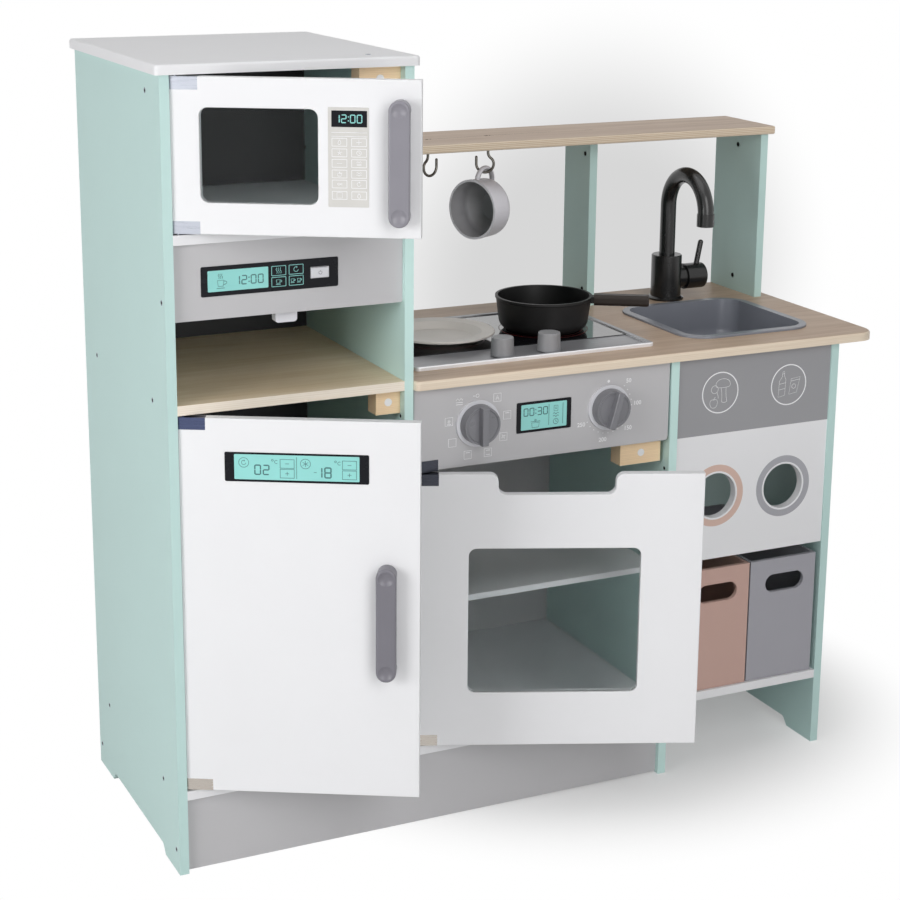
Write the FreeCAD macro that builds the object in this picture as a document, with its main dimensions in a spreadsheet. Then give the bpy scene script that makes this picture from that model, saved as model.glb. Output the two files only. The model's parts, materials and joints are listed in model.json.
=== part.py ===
import FreeCAD
import Part
import Sketcher

import os
from types import SimpleNamespace

# A wooden toy kitchen: a tall unit with a microwave, a coffee machine front and a fridge, a low unit
# with an oven, a hob, a sink and two waste bins, and a shelf with hooks above the worktop.
# The kitchen is drawn with x from the outer face of the left panel, y from the front edges of the
# side panels and z from the floor. The frame's origin lies on the floor, in the middle of the whole
# kitchen as it stands with its doors ajar.

SIZES = (
    # alias, millimetres or degrees, meaning
    ("origin_x", 508, "outer face of the left panel to the frame's origin"),
    ("origin_y", 110.25, "front edges of the panels to the frame's origin"),
    ("board", 12, "thickness of the boards"),
    ("tall_height", 1000, "height of the tall panels"),
    ("low_height", 597, "height of the low panels, to the underside of the worktop"),
    ("panel_depth", 364, "depth of the side panels"),
    ("tall_inside", 294.5, "clear width of the tall unit"),
    ("oven_inside", 377.5, "clear width of the oven unit"),
    ("bin_inside", 246, "clear width of the bin unit"),
    ("plinth", 100, "floor to the underside of the bottom shelf"),
    ("back_face", 336, "front edges to the back sheets"),
    ("back_sheet", 3, "thickness of the back sheets"),
    ("foot_front", 60, "length of the front foot"),
    ("foot_back", 66, "length of the back foot"),
    ("foot_rise", 12, "height of the cut-out between the feet"),
    ("foot_slope", 10, "run of the sloping ends of that cut-out"),
    ("foot_round", 8, "rounding in the cut-out's corners"),
    ("edge_round", 1.2, "rounding of the lacquered door edges"),
    ("top_overhang", 6, "overhang of the top panel all round"),
    ("top_corner", 5, "corner radius of the top panel"),
    ("top_round", 3, "rounding of the top panel's edges"),
    ("microwave_level", 802, "floor to the underside of the microwave shelf"),
    ("coffee_height", 93, "height of the coffee machine's front"),
    ("recess", 7, "setback of the coffee front and the kick plate"),
    ("kick_gap", 2, "gap under the kick plate"),
    ("rail_height", 58, "height of the rear kick rail"),
    ("rail_setback", 347, "front edges to the rear kick rail"),
    ("oven_shelf_level", 294, "floor to the underside of the oven shelf"),
    ("oven_shelf_thick", 8, "thickness of the oven shelf"),
    ("oven_shelf_setback", 25, "front edges to the oven shelf"),
    ("control_height", 110, "height of the oven's control panel"),
    ("control_recess", 2, "setback of the control panel and the waste board"),
    ("control_gap", 1.5, "gap beside the control panel"),
    ("control_corner", 5, "corner radius of the control panel"),
    ("waste_height", 290, "height of the waste board"),
    ("waste_level", 91, "waste board's lower edge to its holes' centres"),
    ("waste_first", 66.5, "waste board's left edge to the first hole"),
    ("waste_pitch", 110, "distance between the waste holes"),
    ("waste_radius", 32, "radius of the waste holes"),
    ("worktop_front", 10, "overhang of the worktop in front"),
    ("worktop_back", 6, "overhang of the worktop behind"),
    ("worktop_end", 56, "overhang of the worktop past the right panel"),
    ("worktop_corner", 25, "radius of the worktop's right corner"),
    ("worktop_nose", 6, "radius of the worktop's left corner"),
    ("worktop_round", 4, "rounding of the worktop's upper edges"),
    ("upright_height", 244.5, "height of the shelf's uprights"),
    ("upright_back", 367.5, "front edges to the back of the uprights"),
    ("right_upright_x", 990, "left panel to the right upright"),
    ("right_upright_depth", 120, "depth of the right upright"),
    ("middle_upright_x", 728.5, "left panel to the middle upright"),
    ("middle_upright_depth", 74.5, "depth of the middle upright"),
    ("nut_setback", 59.5, "back of the uprights to their barrel nut holes"),
    ("nut_rise", 22.5, "end of the uprights to their barrel nut holes"),
    ("nut_radius", 4, "radius of the barrel nut holes"),
    ("nut_depth", 9, "depth of the barrel nut holes"),
    ("shelf_front", 241, "front edges to the front of the upper shelf"),
    ("shelf_depth", 131, "depth of the upper shelf"),
    ("shelf_end", 1010, "left panel to the right end of the upper shelf"),
    ("shelf_round", 2.5, "rounding of the upper shelf's edges"),
    ("hinge_gap", 2.4, "gap beside a door's hinge edge"),
    ("door_gap", 2, "gap above and below a door"),
    ("pivot_inset", 6, "hinge edge of a door to its pivot"),
    ("pivot_setback", 5, "front face of a door to its pivot"),
    ("tall_door_width", 290, "width of the microwave and fridge doors"),
    ("oven_door_width", 372.7, "width of the oven door"),
    ("microwave_turn", 29.9, "opening of the microwave door as it stands"),
    ("fridge_turn", 28.85, "opening of the fridge door as it stands"),
    ("oven_turn", 23, "opening of the oven door as it stands"),
    ("window_round", 10, "corner radius of the windows"),
    ("pane", 2, "thickness of the window panes"),
    ("pane_setback", 4, "front face of a door to its pane"),
    ("grip_left", 109, "hinge edge to the grip notch of the oven door"),
    ("grip_width", 150, "width of the grip notch"),
    ("grip_drop", 27.5, "depth of the grip notch"),
    ("grip_round", 11, "rounding of the grip notch"),
    ("leaf_width", 33, "width of the hinge leaves"),
    ("leaf_height", 15, "height of the hinge leaves"),
    ("leaf_reach", 11, "depth of the folded hinge leaf"),
    ("leaf", 1, "thickness of the hinge leaves"),
    ("pin_radius", 1.5, "radius of the hinge pins"),
    ("pin_bore", 1.56, "radius of the bores for the hinge pins"),
    ("pin_reach", 8, "length of the hinge pins beyond a door"),
    ("pin_socket", 8, "depth of the bores for the hinge pins"),
    ("handle_width", 24.6, "width of the door handles"),
    ("handle_length", 145, "length of the door handles"),
    ("handle_bar", 10, "thickness of the handle bar"),
    ("handle_gap", 10, "finger gap behind the handle bar"),
    ("handle_post", 12, "radius of the handle posts"),
    ("handle_round", 2.5, "rounding of the handle bar"),
    ("dimple_sphere", 15, "radius of the sphere that hollows the handle's ends"),
    ("dimple_depth", 3, "depth of those hollows"),
    ("block_depth", 25, "depth of the catch blocks"),
    ("block_setback", 14, "front edges to the catch blocks"),
    ("magnet_radius", 5, "radius of the catch magnets"),
    ("magnet_length", 4.8, "length of the catch magnets"),
    ("magnet_socket", 4, "depth of the holes for the magnets"),
    ("strike_width", 18, "width of the strike plates on the doors"),
    ("strike_height", 14, "height of the strike plates"),
    ("strike", 0.8, "thickness of the strike plates"),
    ("screw_head", 3.4, "radius of the screw heads"),
    ("screw_sink", 2.6, "depth of the screw heads"),
    ("screw_shank", 2, "radius of the screw shanks"),
    ("screw_play", 0.1, "play around the screws"),
    ("skirt_radius", 30.5, "radius of the fixed rings behind the oven knobs"),
    ("skirt_bore", 10, "inner radius of those rings"),
    ("skirt_thick", 3.5, "thickness of those rings"),
    ("dial_radius", 26, "radius of the oven knobs"),
    ("dial_height", 13, "height of an oven knob without its grip"),
    ("dial_play", 0.5, "gap between an oven knob and its ring"),
    ("grip_height", 22, "height of an oven knob's finger grip"),
    ("grip_thick", 9, "thickness of that finger grip"),
    ("spindle", 5, "radius of the oven knobs' spindles"),
    ("spindle_bore", 5.06, "radius of the bores for those spindles"),
    ("spindle_reach", 20, "length of those spindles"),
    ("mode_knob_x", 409, "left panel to the oven's mode knob"),
    ("heat_knob_x", 600.5, "left panel to the oven's temperature knob"),
    ("oven_knob_level", 543.2, "floor to the oven knobs"),
    ("heat_knob_turn", 16, "turn of the temperature knob as it stands"),
    ("hob_left", 340, "left panel to the hob"),
    ("hob_front", 38, "front edges to the hob"),
    ("hob_width", 351, "width of the hob"),
    ("hob_depth", 252, "depth of the hob"),
    ("hob_height", 5, "height of the hob's rim"),
    ("hob_rim", 7.5, "width of the hob's rim"),
    ("hob_well", 2.5, "depth of the hob inside its rim"),
    ("hob_corner", 6, "corner radius of the hob"),
    ("hob_strip", 55.5, "depth of the strip that carries the hob knobs"),
    ("hob_pane", 1, "thickness of the hob's glass"),
    ("hob_knob_radius", 15.7, "radius of the hob knobs"),
    ("hob_knob_height", 24, "height of the hob knobs"),
    ("hob_knob_gap", 1.5, "gap under the hob knobs"),
    ("hob_spindle", 4, "radius of the hob knobs' spindles"),
    ("hob_bore", 4.06, "radius of the bores for those spindles"),
    ("hob_spindle_reach", 18, "length of those spindles"),
    ("left_hob_knob_x", 473.9, "left panel to the left hob knob"),
    ("right_hob_knob_x", 542.9, "left panel to the right hob knob"),
    ("hob_knob_y", 62, "front edges to the hob knobs"),
    ("sink_left", 750.5, "left panel to the sink"),
    ("sink_front", 42, "front edges to the sink"),
    ("sink_width", 209, "width of the sink"),
    ("sink_length", 215, "depth of the sink from front to back"),
    ("sink_corner", 42, "corner radius of the sink's rim"),
    ("sink_rim", 3, "height of the sink's rim"),
    ("sink_lip", 9, "width of the sink's rim"),
    ("sink_depth", 66, "depth of the bowl under the worktop's surface"),
    ("sink_wall", 3, "wall thickness of the sink"),
    ("sink_bowl_round", 26, "rounding of the bowl's corners and floor"),
    ("tap_x", 863.5, "left panel to the tap"),
    ("tap_y", 294, "front edges to the tap"),
    ("tap_flange", 26.5, "radius of the tap's flange"),
    ("tap_flange_height", 4, "height of the tap's flange"),
    ("tap_body", 22.5, "radius of the tap's body"),
    ("tap_height", 67, "height of the tap's body"),
    ("tap_floor", 33, "height of the floor of the spout's socket"),
    ("spout_radius", 11.5, "radius of the spout's tube"),
    ("spout_bore", 11.56, "radius of the spout's socket"),
    ("spout_arch", 50.7, "radius of the spout's arch"),
    ("spout_spring", 141, "height of the arch's centre above the worktop"),
    ("spout_end", 125, "height of the outlet above the worktop"),
    ("spout_collar", 12.5, "radius of the outlet's collar"),
    ("spout_collar_height", 18, "height of that collar"),
    ("spout_mouth", 9, "radius of the outlet"),
    ("spout_mouth_depth", 14, "depth of the outlet"),
    ("lever_level", 31, "height of the lever's axis above the worktop"),
    ("neck_radius", 16, "radius of the neck that carries the lever"),
    ("neck_start", 15, "tap's axis to the start of the neck"),
    ("neck_end", 29, "tap's axis to the end of the neck"),
    ("hub_radius", 19, "radius of the lever's hub"),
    ("hub_length", 33, "length of the lever's hub"),
    ("hub_gap", 0.4, "gap between the neck and the hub"),
    ("hub_round", 3, "rounding of the hub"),
    ("lever_spindle", 4, "radius of the lever's spindle"),
    ("lever_bore", 4.06, "radius of the bore for that spindle"),
    ("lever_spindle_reach", 11, "length of that spindle"),
    ("lever_radius", 4, "radius of the lever's rod"),
    ("lever_length", 54.5, "hub's axis to the tip of the rod"),
    ("lever_root", 19, "neck to the rod, along the hub"),
    ("lever_lean", 11, "lean of the rod away from the tap"),
    ("coffee_corner", 3, "rounding of the coffee front's lower corners"),
    ("button_x", 185.2, "left panel to the coffee button"),
    ("button_level", 749, "floor to the coffee button"),
    ("button_width", 23, "width of the coffee button"),
    ("button_height", 13, "height of the coffee button"),
    ("button_proud", 3, "height of the button over the coffee front"),
    ("button_play", 0.4, "play round the coffee button"),
    ("button_flange", 3, "overlap of the flange that holds the button in"),
    ("button_flange_thick", 2, "thickness of that flange"),
    ("nozzle_x", 144, "left panel to the coffee nozzle"),
    ("nozzle_width", 27.8, "width of the coffee nozzle"),
    ("nozzle_depth", 12.5, "depth of the coffee nozzle"),
    ("nozzle_drop", 14.5, "drop of the nozzle under the coffee front"),
    ("nozzle_height", 40, "height of the coffee nozzle"),
    ("nozzle_round", 4, "rounding of the nozzle's lower corners"),
    ("bin_width", 109, "width of a bin"),
    ("bin_height", 178, "height of a bin"),
    ("bin_depth", 240, "depth of a bin"),
    ("bin_front", 6, "thickness of a bin's front"),
    ("bin_wall", 4, "thickness of a bin's other walls"),
    ("bin_setback", 4, "front edges to the bins"),
    ("bin_play", 0.5, "gap under the bins"),
    ("pink_bin_x", 728, "left panel to the left bin"),
    ("grey_bin_x", 839.3, "left panel to the right bin"),
    ("slot_width", 64, "length of a bin's grip slot"),
    ("slot_height", 26.4, "height of a bin's grip slot"),
    ("slot_level", 142, "bottom of a bin to its slot's centre"),
    ("slot_shift", 3, "middle of a bin to its slot's centre"),
    ("hook_wire", 1.9, "radius of the hooks' wire"),
    ("hook_radius", 12.2, "bend radius of the hooks"),
    ("hook_offset", 4.2, "shank to the centre of the bend"),
    ("hook_shank", 9.5, "straight length of the shank"),
    ("hook_drop", 25.3, "underside of the shelf to the centre of the bend"),
    ("hook_tip", 9.3, "straight length of the tip"),
    ("hook_y", 288.4, "front edges to the hooks"),
    ("left_hook_x", 469.6, "left panel to the left hook"),
    ("right_hook_x", 562.2, "left panel to the right hook"),
    ("left_hook_turn", 19, "turn of the left hook"),
    ("right_hook_turn", 154.6, "turn of the right hook"),
    ("mug_radius", 42, "outer radius of the mug's rim"),
    ("mug_length", 52, "height of the mug"),
    ("mug_base", 24, "radius of the mug's base"),
    ("mug_wall", 3, "wall of the mug"),
    ("mug_floor", 5, "thickness of the mug's floor"),
    ("mug_loop", 16, "radius of the mug's handle along its middle"),
    ("mug_loop_level", 39.5, "mug's axis to the centre of that radius"),
    ("mug_strap", 3.6, "radius of the mug's handle strap"),
    ("mug_loop_place", 27.5, "rim of the mug to the middle of its handle"),
    ("mug_turn", 24, "turn of the mug's mouth from the left towards the front"),
    ("mug_axis_level", 766.5, "floor to the middle of the hanging mug"),
    ("pan_x", 595.8, "left panel to the pan"),
    ("pan_y", 178.7, "front edges to the pan"),
    ("pan_rim", 65.8, "outer radius of the pan under its lip"),
    ("pan_lip", 1.2, "width of the lip round the pan's rim"),
    ("pan_lip_height", 3, "height of that lip"),
    ("pan_base", 60, "radius of the pan's base before rounding"),
    ("pan_height", 47, "height of the pan"),
    ("pan_wall", 2.5, "wall of the pan"),
    ("pan_round", 15, "rounding of the pan's base"),
    ("pan_turn", -31, "turn of the pan's handle"),
    ("pan_socket", 69.6, "pan's axis to the end of the handle's socket"),
    ("pan_socket_width", 15, "width of the handle's socket"),
    ("pan_socket_height", 9, "height of the handle's socket"),
    ("pan_handle_end", 145, "pan's axis to the end of the handle"),
    ("pan_handle_width", 20, "width of the pan's handle"),
    ("pan_handle_height", 15, "height of the pan's handle"),
    ("pan_handle_level", 42.5, "base of the pan to the middle of its handle"),
    ("pan_handle_round", 5, "rounding of the pan's handle"),
    ("ware_gap", 0.3, "gap under the pan and the plate"),
    ("plate_x", 437.3, "left panel to the plate"),
    ("plate_y", 178.7, "front edges to the plate"),
    ("plate_radius", 75, "radius of the plate"),
    ("plate_foot", 42, "radius of the plate's foot"),
    ("plate_well", 57, "radius of the plate's well inside its rim"),
    ("plate_well_rise", 6.5, "height of the plate's underside at the edge of its well"),
    ("plate_height", 12.5, "height of the plate"),
    ("plate_thick", 3, "thickness of the plate"),
)

Vector = FreeCAD.Vector
AXES = {"X": Vector(1, 0, 0), "Y": Vector(0, 1, 0), "Z": Vector(0, 0, 1)}


class Size:
    """A number together with the sheet expression that it comes from."""

    def __init__(self, value, text):
        self.value = value
        self.text = text

    def __add__(self, other):
        other = as_size(other)
        return Size(self.value + other.value, f"({self.text} + {other.text})")

    def __sub__(self, other):
        other = as_size(other)
        return Size(self.value - other.value, f"({self.text} - {other.text})")

    def __mul__(self, factor):
        return Size(self.value * factor, f"({self.text} * {factor})")

    def __truediv__(self, divisor):
        return Size(self.value / divisor, f"({self.text} / {divisor})")

    def __neg__(self):
        return Size(-self.value, f"(-{self.text})")

    def __radd__(self, other):
        return as_size(other) + self

    def __rsub__(self, other):
        return as_size(other) - self


def as_size(number):
    """Take a plain number as a size of its own."""
    return number if isinstance(number, Size) else Size(float(number), f"({float(number)})")


def bind(thing, name, number):
    """Let one property of a document object follow the sheet."""
    thing.setExpression(name, as_size(number).text)


def place(thing, x, y, z, axis="Z", turn=0):
    """Put a sub-part into the kitchen, turned about an axis through its own origin."""
    if as_size(turn).value:
        thing.Placement = FreeCAD.Placement(Vector(), FreeCAD.Rotation(AXES[axis], as_size(turn).value))
        bind(thing, "Placement.Rotation.Angle", turn)
    bind(thing, "Placement.Base.x", x - S.origin_x)
    bind(thing, "Placement.Base.y", y - S.origin_y)
    bind(thing, "Placement.Base.z", z)


def set_at(feature, at, along="Z"):
    """Put a feature at a point of its own sub-part, with its length along an axis."""
    turned = FreeCAD.Rotation(AXES["Z"], AXES[along])
    feature.Placement = FreeCAD.Placement(Vector(), turned)
    for letter, number in zip("xyz", at):
        bind(feature, f"Placement.Base.{letter}", number)


class Piece:
    """One sub-part: a body whose features take their sizes from the sheet."""

    def __init__(self, label, exported=True):
        self.body = doc.addObject("PartDesign::Body", label)
        self.body.Label = label
        if exported:
            pieces.append(self.body)

    def box(self, size, at, cut=False):
        """Add or cut a box with its lowest corner at a point."""
        kind = "Subtractive" if cut else "Additive"
        feature = self.body.newObject(f"PartDesign::{kind}Box", "Box")
        for name, number in zip(("Length", "Width", "Height"), size):
            bind(feature, name, number)
        set_at(feature, at)
        doc.recompute()

    def rod(self, radius, length, at, along="Z", cut=False):
        """Add or cut a cylinder that starts at a point and runs along an axis."""
        kind = "Subtractive" if cut else "Additive"
        feature = self.body.newObject(f"PartDesign::{kind}Cylinder", "Rod")
        bind(feature, "Radius", radius)
        bind(feature, "Height", length)
        set_at(feature, at, along)
        doc.recompute()

    def sphere(self, radius, at, cut=False):
        """Add or cut a sphere about a point."""
        kind = "Subtractive" if cut else "Additive"
        feature = self.body.newObject(f"PartDesign::{kind}Sphere", "Sphere")
        bind(feature, "Radius", radius)
        set_at(feature, at)
        doc.recompute()

    def half_ring(self, ring, wire, at, turned):
        """Add half a torus about a point."""
        feature = self.body.newObject("PartDesign::AdditiveTorus", "Ring")
        bind(feature, "Radius1", ring)
        bind(feature, "Radius2", wire)
        feature.Angle3 = 180
        feature.Placement = FreeCAD.Placement(Vector(), turned)
        for letter, number in zip("xyz", at):
            bind(feature, f"Placement.Base.{letter}", number)
        doc.recompute()

    def outline(self, plane, points, corner=(0, 0), level=0):
        """Sketch a closed outline whose corners are bound to the sheet."""
        sketch = self.body.newObject("Sketcher::SketchObject", "Outline")
        support = [item for item in self.body.Origin.OriginFeatures if item.Role == f"{plane}_Plane"]
        sketch.AttachmentSupport = (support[0], [""])
        sketch.MapMode = "FlatFace"
        for letter, number in zip("xyz", (*corner, level)):
            bind(sketch, f"AttachmentOffset.Base.{letter}", number)
        points = [(as_size(u), as_size(v)) for u, v in points]
        spots = [Vector(u.value, v.value, 0) for u, v in points]
        count = len(points)
        for i in range(count):
            sketch.addGeometry(Part.LineSegment(spots[i], spots[(i + 1) % count]))
        for i in range(count):
            sketch.addConstraint(Sketcher.Constraint("Coincident", i, 2, (i + 1) % count, 1))
        for i, pair in enumerate(points):
            for number, kind, line in zip(pair, ("DistanceX", "DistanceY"), (-2, -1)):
                if number.value == 0:
                    sketch.addConstraint(Sketcher.Constraint("PointOnObject", i, 1, line))
                    continue
                index = sketch.addConstraint(Sketcher.Constraint(kind, -1, 1, i, 1, number.value))
                sketch.setExpression(f"Constraints[{index}]", number.text)
        doc.recompute()
        return sketch

    def pad(self, sketch, length, back=False, taper=0, cut=False):
        """Extrude or cut an outline, with a taper where it has one."""
        feature = self.body.newObject("PartDesign::Pocket" if cut else "PartDesign::Pad", "Pad")
        feature.Profile = sketch
        bind(feature, "Length", length)
        feature.Reversed = back
        feature.TaperAngle = taper
        doc.recompute()

    def turn(self, points):
        """Turn an outline of radius and height about the upright axis."""
        sketch = self.outline("XZ", points)
        feature = self.body.newObject("PartDesign::Revolution", "Turned")
        feature.Profile = sketch
        feature.ReferenceAxis = (sketch, ["V_Axis"])
        feature.Angle = 360
        doc.recompute()

    def edges_through(self, along, points):
        """Name the straight edges along an axis that pass through points of the other two axes."""
        others = [i for i, letter in enumerate("XYZ") if letter != along]
        spots = [[as_size(number).value for number in point] for point in points]
        names = []
        for number, edge in enumerate(self.body.Tip.Shape.Edges, 1):
            first, last = edge.Vertexes[0].Point, edge.Vertexes[-1].Point
            middle = edge.CenterOfMass
            run = (last - first).normalize() if (last - first).Length > NEAR else Vector()
            if abs(abs(run.dot(AXES[along])) - 1) > NEAR:
                continue
            if any(all(abs(middle[i] - spot[k]) < NEAR for k, i in enumerate(others)) for spot in spots):
                names.append(f"Edge{number}")
        return names

    def edges_at(self, axis, level, least=0):
        """Name the edges that lie in one plane across an axis, and are at least so long."""
        index = "XYZ".index(axis)
        names = []
        for number, edge in enumerate(self.body.Tip.Shape.Edges, 1):
            box = edge.BoundBox
            low = (box.XMin, box.YMin, box.ZMin)[index]
            high = (box.XMax, box.YMax, box.ZMax)[index]
            value = as_size(level).value
            if abs(low - value) < NEAR and abs(high - value) < NEAR and edge.Length > least:
                names.append(f"Edge{number}")
        return names

    def round(self, radius, names):
        """Round the named edges."""
        tip = self.body.Tip
        feature = self.body.newObject("PartDesign::Fillet", "Round")
        feature.Base = (tip, names)
        bind(feature, "Radius", radius)
        doc.recompute()

    def bevel(self, size, names):
        """Bevel the named edges."""
        tip = self.body.Tip
        feature = self.body.newObject("PartDesign::Chamfer", "Bevel")
        feature.Base = (tip, names)
        bind(feature, "Size", size)
        doc.recompute()

    def hollow_out(self, core):
        """Cut another body out of this one."""
        feature = self.body.newObject("PartDesign::Boolean", "Hollow")
        feature.Type = "Cut"
        feature.setObjects([core.body])
        doc.recompute()

    def place(self, x, y, z, axis="Z", turn=0):
        """Put the sub-part into the kitchen."""
        place(self.body, x, y, z, axis, turn)


NEAR = 0.01


def plain_box(size, at):
    """A box for a grouped sub-part."""
    box = doc.addObject("Part::Box", "GroupBox")
    for name, number in zip(("Length", "Width", "Height"), size):
        bind(box, name, number)
    set_at(box, at)
    return box


def plain_rod(radius, length, at, along="Z"):
    """A cylinder for a grouped sub-part."""
    rod = doc.addObject("Part::Cylinder", "GroupRod")
    bind(rod, "Radius", radius)
    bind(rod, "Height", length)
    set_at(rod, at, along)
    return rod


def fused(*parts):
    """Join solids into one solid of a grouped sub-part."""
    joined = doc.addObject("Part::MultiFuse", "GroupSolid")
    joined.Shapes = list(parts)
    joined.Refine = True
    return joined


def bored(base, tool):
    """Cut one solid of a grouped sub-part out of another."""
    rest = doc.addObject("Part::Cut", "GroupSolid")
    rest.Base = base
    rest.Tool = tool
    return rest


def group(label, solids):
    """A sub-part of like pieces, each a separate solid."""
    whole = doc.addObject("Part::Compound", label)
    whole.Label = label
    whole.Links = solids
    pieces.append(whole)
    return whole


def simple_board(label, size, at):
    """A plain board, as sawn."""
    piece = Piece(label)
    piece.box(size, (0, 0, 0))
    piece.place(*at)
    return piece


def side_panel(label, x, height):
    """A side panel that stands on two feet, with a low cut-out between them."""
    piece = Piece(label)
    front = S.foot_front
    back = S.panel_depth - S.foot_back
    inner = ((front + S.foot_slope, S.foot_rise), (back - S.foot_slope, S.foot_rise))
    sketch = piece.outline("YZ", (
        (0, 0), (front, 0), *inner, (back, 0), (S.panel_depth, 0), (S.panel_depth, height), (0, height)))
    piece.pad(sketch, S.board)
    piece.round(S.foot_round, piece.edges_through("X", inner))
    piece.place(x, as_size(0), as_size(0))
    return piece


def screw_hole(piece, y, z, face, inward):
    """Sink one screw hole into an upright panel, from the face at x and inwards."""
    play = S.screw_play
    start = face if inward > 0 else face - S.screw_sink
    piece.rod(S.screw_head + play, S.screw_sink, (start, y, z), "X", cut=True)
    piece.rod(S.screw_shank + play, S.board, (0, y, z), "X", cut=True)


def screw(x, y, z, inward):
    """One furniture screw with its head flush in a panel's outer face at x."""
    head = plain_rod(S.screw_head, S.screw_sink, (x if inward > 0 else x - S.screw_sink, y, z), "X")
    shank = plain_rod(S.screw_shank, S.board, (x if inward > 0 else x - S.board, y, z), "X")
    return fused(head, shank)


def carcass():
    """The boards that carry everything."""
    left = side_panel("left_side_panel", as_size(0), S.tall_height)
    for y, z in LEFT_SCREWS:
        screw_hole(left, y, z, as_size(0), 1)
    side_panel("divider_panel", divider_x, S.low_height)
    right = side_panel("right_side_panel", right_x, S.low_height)
    for y, z in RIGHT_SCREWS:
        screw_hole(right, y, z, S.board, -1)
    screws = [screw(as_size(0), y, z, 1) for y, z in LEFT_SCREWS]
    screws += [screw(right_x + S.board, y, z, -1) for y, z in RIGHT_SCREWS]
    place(group("assembly_screws", screws), as_size(0), as_size(0), as_size(0))

    depth = S.back_face
    floor = S.plinth + S.board
    simple_board("tall_right_panel", (S.board, S.panel_depth, S.tall_height - floor),
                 (tall_x, as_size(0), floor))
    bottom = simple_board("bottom_shelf", (S.tall_inside + S.board + S.oven_inside, depth, S.board),
                          (S.board, as_size(0), S.plinth))
    for pivot in (fridge_pivot, oven_pivot):
        bottom.rod(S.pin_bore, S.pin_socket,
                   (pivot - S.board, S.pivot_setback, S.board - S.pin_socket), cut=True)
    simple_board("kick_plate", (S.tall_inside + S.board + S.oven_inside, S.board, S.plinth - S.kick_gap),
                 (S.board, S.recess, S.kick_gap))
    simple_board("rear_kick_rail", (S.tall_inside + S.board + S.oven_inside, S.board, S.rail_height),
                 (S.board, S.rail_setback, S.kick_gap))
    niche = simple_board("niche_shelf", (S.tall_inside, depth, S.board), (S.board, as_size(0), S.low_height))
    niche.rod(S.pin_bore, S.pin_socket, (fridge_pivot - S.board, S.pivot_setback, 0), cut=True)
    oven_top = simple_board("microwave_shelf", (S.tall_inside, depth, S.board),
                            (S.board, as_size(0), S.microwave_level))
    oven_top.rod(S.pin_bore, S.pin_socket,
                 (fridge_pivot - S.board, S.pivot_setback, S.board - S.pin_socket), cut=True)
    simple_board("tall_back_panel", (S.tall_inside, S.back_sheet, S.tall_height - floor),
                 (S.board, depth, floor))
    simple_board("oven_back_panel", (S.oven_inside, S.back_sheet, S.low_height - floor),
                 (oven_x, depth, floor))
    simple_board("oven_shelf", (S.oven_inside, depth - S.oven_shelf_setback, S.oven_shelf_thick),
                 (oven_x, S.oven_shelf_setback, S.oven_shelf_level))
    simple_board("bin_shelf", (S.bin_inside, depth, S.board), (bin_x, as_size(0), S.plinth))

    top = Piece("top_panel")
    width = oven_x + S.top_overhang * 2
    length = S.panel_depth + S.top_overhang * 2
    top.box((width, length, S.board), (0, 0, 0))
    top.round(S.top_corner, top.edges_through("Z", ((0, 0), (width, 0), (0, length), (width, length))))
    top.round(S.top_round, top.edges_at("Z", S.board))
    pin_y = S.pivot_setback + S.top_overhang
    top.rod(S.pin_bore, S.pin_socket, (fridge_pivot + S.top_overhang, pin_y, 0), cut=True)
    top.place(-S.top_overhang, -S.top_overhang, S.tall_height)


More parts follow.
